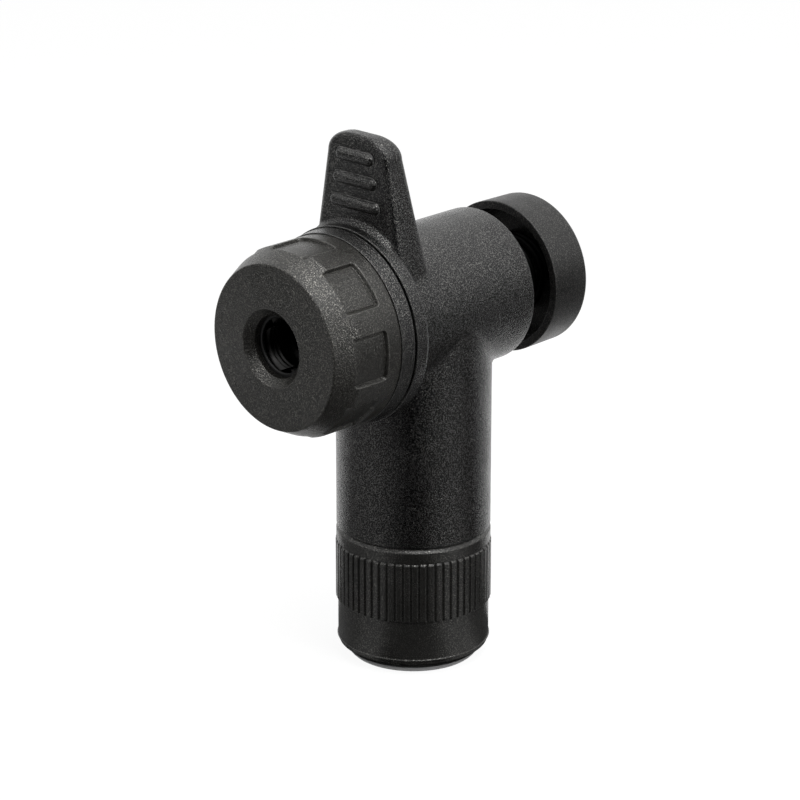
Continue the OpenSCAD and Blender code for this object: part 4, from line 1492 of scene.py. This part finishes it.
@dataclass
class HoseNut:
    """Knurled nut that holds the hose collet to the neck."""

    bottom: float = 0.8
    foot_land: float = 0.15
    chamfer_in: float = 0.16
    chamfer_top: float = 1.75
    line_at: float = 2.42
    line_rise: float = 0.13
    line_sunk: float = 0.02
    # Where the raised line starts, is full, is full no more and ends, from its own place.
    line_steps: tuple[float, float, float, float] = (-0.07, -0.02, 0.05, 0.14)
    # How far above the raised line's place, and below the knurl, the plain wall has its rows.
    plain_rows: tuple[float, float, float, float] = (2.0, 0.3, 0.12, 0.02)
    top: float = 19.4
    lip_top: float = 3.2
    foot_in: float = 9.42
    bore_r: float = 9.78
    low_r: float = 10.82
    knurl_r: float = 11.13
    knurl_depth: float = 0.24
    knurl_bottom: float = 8.25
    knurl_top: float = 17.2
    knurl_count: int = 60
    knurl_fade: float = 0.28
    valley_share: float = 0.06
    flank_share: float = 0.34
    valley_sunk: float = 0.06
    band_r: float = 11.03
    band_step: float = 0.12
    band_under: float = 0.35
    # How far the bevel on top goes in, and down.
    top_bevel: tuple[float, float] = (0.5, 0.6)
    thread_depth: float = 0.3
    # How far inside the bore's ends the thread starts and stops.
    thread_ends: tuple[float, float] = (0.4, 0.8)
    bore_rows: int = 54
    # Rows at both ends of the knurled band, and columns across one rib, as shares of its pitch.
    end_rows: tuple[float, ...] = (0.0, 0.03, 0.09, 0.16, 0.22, 0.28, 0.6, 1.2)
    rib_columns: tuple[float, ...] = (0, 0.06, 0.12, 0.2, 0.3, 0.38, 0.5, 0.62, 0.7, 0.8, 0.88, 0.94)

    def knurl(self, radius: Array, along: Array, angle: Array) -> Array:
        """Raises the ribs inside the knurled band, and cuts the thread in the bore.

        Across one pitch a rib is a trapezoid with soft shoulders. Its height fades at both
        ends of the band.

        Args:
            radius: the section's radius.
            along: heights.
            angle: angles round the neck, in radians.

        Returns:
            The changed radius.
        """
        place = (angle * self.knurl_count / FULL_TURN) % 1.0
        rib = np.clip((0.5 - np.abs(place - 0.5)) / 0.5, 0, 1)
        rib = eased(np.clip((rib - self.valley_share) / self.flank_share, 0, 1))
        inwards = np.minimum(along - self.knurl_bottom, self.knurl_top - along)
        ends = np.clip(inwards / self.knurl_fade, 0, 1)
        floor = self.knurl_r - self.knurl_depth
        banded = (radius > floor - self.band_under) & (inwards > -ON_WALL)
        risen = floor - self.valley_sunk * ends + (self.knurl_depth + self.valley_sunk) * rib * ends
        start, end = self.lip_top + self.thread_ends[0], self.top - self.thread_ends[1]
        thread = Thread(self.bore_r, start, end, -self.thread_depth)
        return thread.cut(np.where(banded, risen, radius), along, angle)

    def line(self) -> Array:
        """The nut's section as a closed line, with more rows in the knurled band and in the bore.

        Returns:
            (radius, height) rows.
        """
        floor, raised = self.knurl_r - self.knurl_depth, self.low_r + self.line_rise
        starts, full, full_end, ends = (self.line_at + step for step in self.line_steps)
        above, *below = self.plain_rows
        plain = [self.line_at + above, *(self.knurl_bottom - step for step in below)]
        bevel_in, bevel_down = self.top_bevel
        line = rounded(
            [
                (self.foot_in, self.bottom, 0.05), (self.foot_in + self.foot_land, self.bottom, 0.05),
                (self.low_r - self.chamfer_in, self.chamfer_top, 0.12), (self.low_r - self.line_sunk, starts),
                (raised, full, 0.03), (raised, full_end, 0.03), (self.low_r, ends),
                *((self.low_r, height) for height in plain), (floor, self.knurl_bottom),
                (floor, self.knurl_top), (self.band_r, self.knurl_top + self.band_step, 0.06),
                (self.band_r, self.top - bevel_down, 0.1), (self.band_r - bevel_in, self.top, 0.12),
                (self.bore_r, self.top, 0.15), (self.bore_r, self.lip_top), (self.foot_in, self.lip_top),
            ],
            5, ring=True,
        )
        steps = np.array(self.end_rows)
        between = np.linspace(self.knurl_bottom + steps[-1], self.knurl_top - steps[-1], 3)
        rows = np.unique(np.concatenate([self.knurl_bottom + steps, self.knurl_top - steps, between]))
        band_start = np.flatnonzero(np.abs(line[:, 1] - self.knurl_bottom) < 1e-4)[-1]
        line = spliced(line, int(band_start), floor, rows[1:-1])
        bore_start = np.flatnonzero(np.abs(line[:, 0] - self.bore_r) < 1e-6)[0]
        heights = np.linspace(self.top - 0.2, self.lip_top + 0.05, self.bore_rows)
        return spliced(line, int(bore_start), self.bore_r, heights)

    def build(self, shop: Workshop) -> None:
        """Turns the nut with its ribs and dresses it.

        Args:
            shop: makes and dresses the piece.
        """
        places = np.arange(self.knurl_count)[:, None] + np.array(self.rib_columns)
        columns = (places / self.knurl_count * FULL_TURN).ravel()
        skin = turned(self.line(), Axis.NECK, columns, ring=True, change=self.knurl)
        shop.piece("knurled_nut", skin, "nut_black", "nut", ["hose_nut"])


@dataclass
class Springs:
    """Return spring round the push rod, and the garter spring round the jaws."""

    coil_r: float = 5.4
    wire: float = 0.45
    wire_around: int = 12
    back: float = -21.7
    front: float = -11.85
    turns: float = 6.5
    turn_steps: int = 40
    soft_steps: int = 8
    pressed_share: float = 0.628
    garter_r: float = 9.15
    garter_wire: float = 0.13
    garter_around: int = 6
    garter_coil: float = 0.36
    garter_coils: int = 66
    garter_steps: int = 12
    garter_span: float = 119.4

    def return_spring(self, shop: Workshop) -> None:
        """Open coil with a closed turn at each end, on a mesh of its own.

        The wire's centre goes round the barrel's axis once a turn. Its place along the axis
        grows by one wire's width in the end turns and evenly in between, and is then
        averaged over its neighbours, so that the coil bends softly.

        Args:
            shop: makes and dresses the piece.
        """
        turn = np.linspace(0, self.turns, int(self.turns * self.turn_steps) + 1)
        length, closed = self.front - self.back, 2 * self.wire
        rise = np.interp(turn, [0, 1, self.turns - 1, self.turns], [0, closed, length - closed, length])
        span = 2 * self.soft_steps + 1
        rise = np.convolve(np.pad(rise, self.soft_steps, mode="edge"), np.ones(span) / span, mode="valid")
        angle = turn * FULL_TURN
        centre = Axis.BARREL.points(np.full_like(turn, self.coil_r), self.back + rise, angle)
        side = np.stack([np.cos(angle), np.zeros_like(angle), np.sin(angle)], axis=1)
        other = np.tile([0.0, 1.0, 0.0], (len(turn), 1))
        skin = tube(centre, side, other, self.wire, self.wire_around)
        made = shop.piece("return_coil", skin, "spring_steel", "shell", ["return_spring"])
        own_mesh(made)

    def garter_spring(self, shop: Workshop) -> None:
        """Close coil bent into a ring, in three stretches that follow the jaws they lie on.

        The wire's centre lies on a small circle that itself travels round the barrel's
        axis: ring radius plus coil radius times the cosine, and forward by its sine.

        Args:
            shop: makes and dresses the pieces.
        """
        share = np.linspace(0, 1, self.garter_coils * self.garter_steps + 1)
        coil = share * self.garter_coils * FULL_TURN
        radius = self.garter_r + self.garter_coil * np.cos(coil)
        along = GARTER_AT + self.garter_coil * np.sin(coil)
        ring_r, ring_at = np.full_like(share, self.garter_r), np.full_like(share, GARTER_AT)
        for jaw in Jaw:
            angle = jaw.angle() + (share - 0.5) * math.radians(self.garter_span)
            centre = Axis.BARREL.points(radius, along, angle)
            path = unit(np.gradient(centre, axis=0))
            other = unit(np.cross(path, unit(centre - Axis.BARREL.points(ring_r, ring_at, angle))))
            skin = tube(centre, np.cross(other, path), other, self.garter_wire, self.garter_around)
            shop.piece("garter_coil_" + jaw.name.lower(), skin, "spring_steel", jaw.value, ["garter_spring"])


@dataclass
class CarriedNodes:
    """Solids that keep their shape and get their finish here, by material slot."""

    slots: tuple[tuple[str, tuple[str, ...]], ...] = (
        ("inner_black", ("push_rod", "rod_guide", "hose_collet")),
        ("foot_grey", ("foot_ring",)),
        ("dark_steel", ("jaw_top", "jaw_left", "jaw_right")),
        ("bright_steel", ("wedge_sleeve", "push_pins", "pin_screws", "push_yoke", "yoke_screw")),
        ("bright_steel", ("core_pin", "nut_slip_washer")),
        ("brass", ("air_spout", "hose_barb")),
        ("black_rubber", ("flange_gasket", "spout_oring", "valve_seal", "barb_oring")),
    )

    def build(self, shop: Workshop) -> None:
        """Gives every carried node the material of its slot.

        Args:
            shop: holds the palette.
        """
        for slot, names in self.slots:
            for name in names:
                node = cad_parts[name]
                node.data.materials.clear()
                node.data.materials.append(shop.palette.material(slot))
                LOG.info("%s: carried over in %s", name, slot)


# ---------------------------------------------------------------- studio


def direction(azimuth: float, elevation: float) -> Vector:
    """Unit vector from the object out to an azimuth and elevation in degrees, 0 being the front."""
    a, e = math.radians(azimuth), math.radians(elevation)
    return Vector((math.sin(a) * math.cos(e), -math.cos(a) * math.cos(e), math.sin(e)))


@dataclass(frozen=True)
class Lamp:
    """A soft rectangular lamp that looks at the head from a direction."""

    name: str
    azimuth: float
    elevation: float
    distance: float
    size: tuple[float, float]
    power: float

    def hang(self, middle: Vector) -> None:
        """Hangs the lamp and turns it to a point.

        Args:
            middle: the point that it looks at.
        """
        data = bpy.data.lights.new(self.name, "AREA")
        data.shape, data.energy = "RECTANGLE", self.power
        data.size, data.size_y = self.size
        made = linked(self.name, data)
        made.location = middle + direction(self.azimuth, self.elevation) * self.distance
        made.rotation_euler = (middle - made.location).to_track_quat("-Z", "Y").to_euler()


@dataclass(frozen=True)
class Card:
    """A card on the floor round the head, which may rise at its far end, and shows only in reflections.

    Its start and end are turns from the camera's side, near and far are metres from the neck's
    axis, its top is the elevation of its upper edge over the eye's height, 0 for a card that
    only lies there, and its level is how bright it is.
    """

    name: str
    start: float
    end: float
    near: float
    far: float
    top: float
    level: float
    bend: float = 0.10
    eye: float = 0.045
    least_rise: float = 0.12
    lift: float = 0.0004
    # Rows on the floor, round the bend and up the wall, and columns.
    rows: tuple[int, int, int] = (8, 8, 4)
    columns: int = 24

    def grid(self, middle: float) -> Array:
        """Points of the card: a path out along the floor and up, carried round the upright axis.

        The path runs level out to the bend, along a quarter circle, and straight up to the
        top or the least rise. A lift keeps it off the floor.

        Args:
            middle: azimuth of the camera in degrees.

        Returns:
            Points in metres, path by turn by three.
        """
        flat, bent, upright = self.rows
        out, rise = np.linspace(self.near, self.far, flat), np.zeros(flat)
        if self.top > 0:
            back, turn = self.far + self.bend, np.radians(np.linspace(0, 90, bent + 1))[1:]
            height = max(self.eye + back * math.tan(math.radians(self.top)), self.least_rise)
            out = np.concatenate([out, self.far + self.bend * np.sin(turn), [back] * upright])
            wall = np.linspace(self.bend, height, upright + 1)[1:]
            rise = np.concatenate([rise, self.bend * (1 - np.cos(turn)), wall])
        azimuth = np.radians(middle + np.linspace(self.start, self.end, self.columns))[None, :]
        out, rise = out[:, None], rise[:, None] + self.lift
        return np.stack(np.broadcast_arrays(out * np.sin(azimuth), -out * np.cos(azimuth), rise), axis=-1)

    def stand(self, middle: float) -> None:
        """Stands the card up. It takes no light, throws no shadow and isn't seen itself.

        Args:
            middle: azimuth of the camera in degrees.
        """
        grid = self.grid(middle)
        rows, cols = grid.shape[:2]
        index = np.arange(rows * cols).reshape(rows, cols)
        corners = [index[:-1, :-1], index[1:, :-1], index[1:, 1:], index[:-1, 1:]]
        mesh = bpy.data.meshes.new(self.name)
        mesh.from_pydata(grid.reshape(-1, 3).tolist(), [], np.stack(corners, axis=-1).reshape(-1, 4).tolist())
        made = linked(self.name, mesh)
        made.visible_camera = made.visible_diffuse = made.visible_shadow = made.visible_transmission = False
        paint = bpy.data.materials.new(self.name)
        make = Sockets.fresh(paint)
        glow = make.node("Emission", Color=WHITE, Strength=self.level)
        make.node("OutputMaterial", Surface=glow.outputs[0])
        mesh.materials.append(paint)


@dataclass
class Studio:
    """Camera, pale floor, white surround, soft lamps and the cards that shape the reflections.

    The camera's distance and aim are millimetres from the crossing of barrel and neck.
    """

    azimuth: float = 43.8
    elevation: float = 18.0
    distance: float = 450.0
    lens: float = 145.2
    sensor: float = 36.0
    clip: tuple[float, float] = (0.01, 20.0)
    aim_right: float = -1.90
    aim_up: float = -13.50
    lamp_aim: float = 0.045
    floor_size: float = 3.0
    floor_drop: float = 0.00002
    floor_grey: float = 0.22
    floor_glow: float = 0.92
    sky_level: float = 0.16
    sky_mirrored: float = 0.74
    # Name, azimuth, elevation, distance, size and power.
    lamps: tuple[Lamp, ...] = (
        Lamp("top_box", 60.0, 78.0, 0.55, (0.4, 0.4), 1.35),
        Lamp("left_box", -3.0, 14.0, 0.6, (0.14, 0.3), 0.35),
        Lamp("right_box", 92.0, 12.0, 0.6, (0.12, 0.3), 0.6),
        Lamp("high_box", 76.0, 52.0, 0.55, (0.18, 0.18), 0.42),
    )
    # Name, start, end, near, far, top and level.
    cards: tuple[Card, ...] = (
        # Dark card under the foot: painted shade of the floor beneath the head, seen only in reflections.
        Card("foot_shade_card", -180.0, 180.0, 0.0005, 0.0115, 0.0, 0.0),
        Card("front_card", -34.0, 34.0, 0.0115, 0.30, 36.0, 0.0),
        Card("left_strip", -64.0, -34.0, 0.0115, 0.125, 0.0, 0.4),
        Card("left_card", -130.0, -64.0, 0.0115, 0.125, 0.0, 0.18),
        Card("left_middle_card", -130.0, -34.0, 0.125, 0.20, 0.0, 0.9),
        Card("left_far_card", -130.0, -34.0, 0.20, 0.50, 20.0, 0.13),
        Card("right_strip", 34.0, 76.0, 0.0115, 0.50, 9.0, 0.42),
        Card("right_card", 76.0, 125.0, 0.0115, 0.50, 8.0, 0.07),
    )

    def camera(self) -> None:
        """Puts the camera at its distance from the crossing of the axes and aims it past it."""
        back = direction(self.azimuth, self.elevation)
        right = Vector((math.cos(math.radians(self.azimuth)), math.sin(math.radians(self.azimuth)), 0))
        up = back.cross(right)
        crossing = Vector((0, 0, AXIS_HEIGHT))
        place = (crossing + back * self.distance) * MM
        target = (crossing + right * self.aim_right + up * self.aim_up) * MM
        data = bpy.data.cameras.new("camera")
        data.lens, data.sensor_width = self.lens, self.sensor
        data.clip_start, data.clip_end = self.clip
        made = linked("camera", data)
        made.location = place
        made.rotation_euler = (target - place).to_track_quat("-Z", "Y").to_euler()
        bpy.context.scene.camera = made

    def surround(self) -> None:
        """White world for the eye and for reflections, and a plain soft level for the light it gives."""
        world = bpy.data.worlds.new("surround")
        bpy.context.scene.world = world
        make = Sockets.fresh(world)
        path = make.node("LightPath").outputs
        straight = make.math("MAXIMUM", path["Is Camera Ray"], path["Is Transmission Ray"])
        mirrored = make.math("MULTIPLY", path["Is Glossy Ray"], self.sky_mirrored)
        strength = make.math("MAXIMUM", straight, make.math("ADD", self.sky_level, mirrored))
        sky = make.node("Background", Color=WHITE, Strength=strength)
        make.node("OutputWorld", Surface=sky.outputs[0])

    def floor(self) -> None:
        """Pale floor under the foot, near white to the eye and in mirrors, that still takes the shadow."""
        half, drop = self.floor_size / 2, -self.floor_drop
        mesh = bpy.data.meshes.new("floor")
        corners = [(x * half, y * half, drop) for x, y in ((-1, -1), (1, -1), (1, 1), (-1, 1))]
        mesh.from_pydata(corners, [], [(0, 1, 2, 3)])
        made = linked("floor", mesh)
        paint = bpy.data.materials.new("floor")
        make = Sockets.fresh(paint)
        matte = make.node("BsdfDiffuse", Color=(self.floor_grey, self.floor_grey, self.floor_grey, 1.0))
        path = make.node("LightPath").outputs
        seen = make.math("MAXIMUM", path["Is Camera Ray"], path["Is Glossy Ray"])
        seen = make.math("MAXIMUM", seen, path["Is Transmission Ray"])
        strength = make.math("MULTIPLY", seen, self.floor_glow)
        glow = make.node("Emission", Color=WHITE, Strength=strength)
        both = make.node("AddShader", _0=matte.outputs[0], _1=glow.outputs[0])
        make.node("OutputMaterial", Surface=both.outputs[0])
        mesh.materials.append(paint)

    def build(self) -> None:
        """Sets up camera, lamps, cards, surround and floor."""
        self.camera()
        for lamp in self.lamps:
            lamp.hang(Vector((0, 0, self.lamp_aim)))
        for card in self.cards:
            card.stand(self.azimuth)
        self.surround()
        self.floor()
        bpy.context.scene.view_settings.view_transform = "Standard"
        LOG.info("studio: %d lamps, %d cards", len(self.lamps), len(self.cards))


def main() -> None:
    """Builds the studio and every part of the head, in order."""
    logging.basicConfig(level=logging.INFO, format="%(message)s")
    Studio().build()
    shop = Workshop(Palette())
    BodyMoulding().build(shop)
    JawCage().build(shop)
    FrontCap().build(shop)
    MouthLip().build(shop)
    ReleaseButton().build(shop)
    HoseNut().build(shop)
    springs = Springs()
    springs.return_spring(shop)
    springs.garter_spring(shop)
    CarriedNodes().build(shop)


if __name__ == "__main__":
    main()
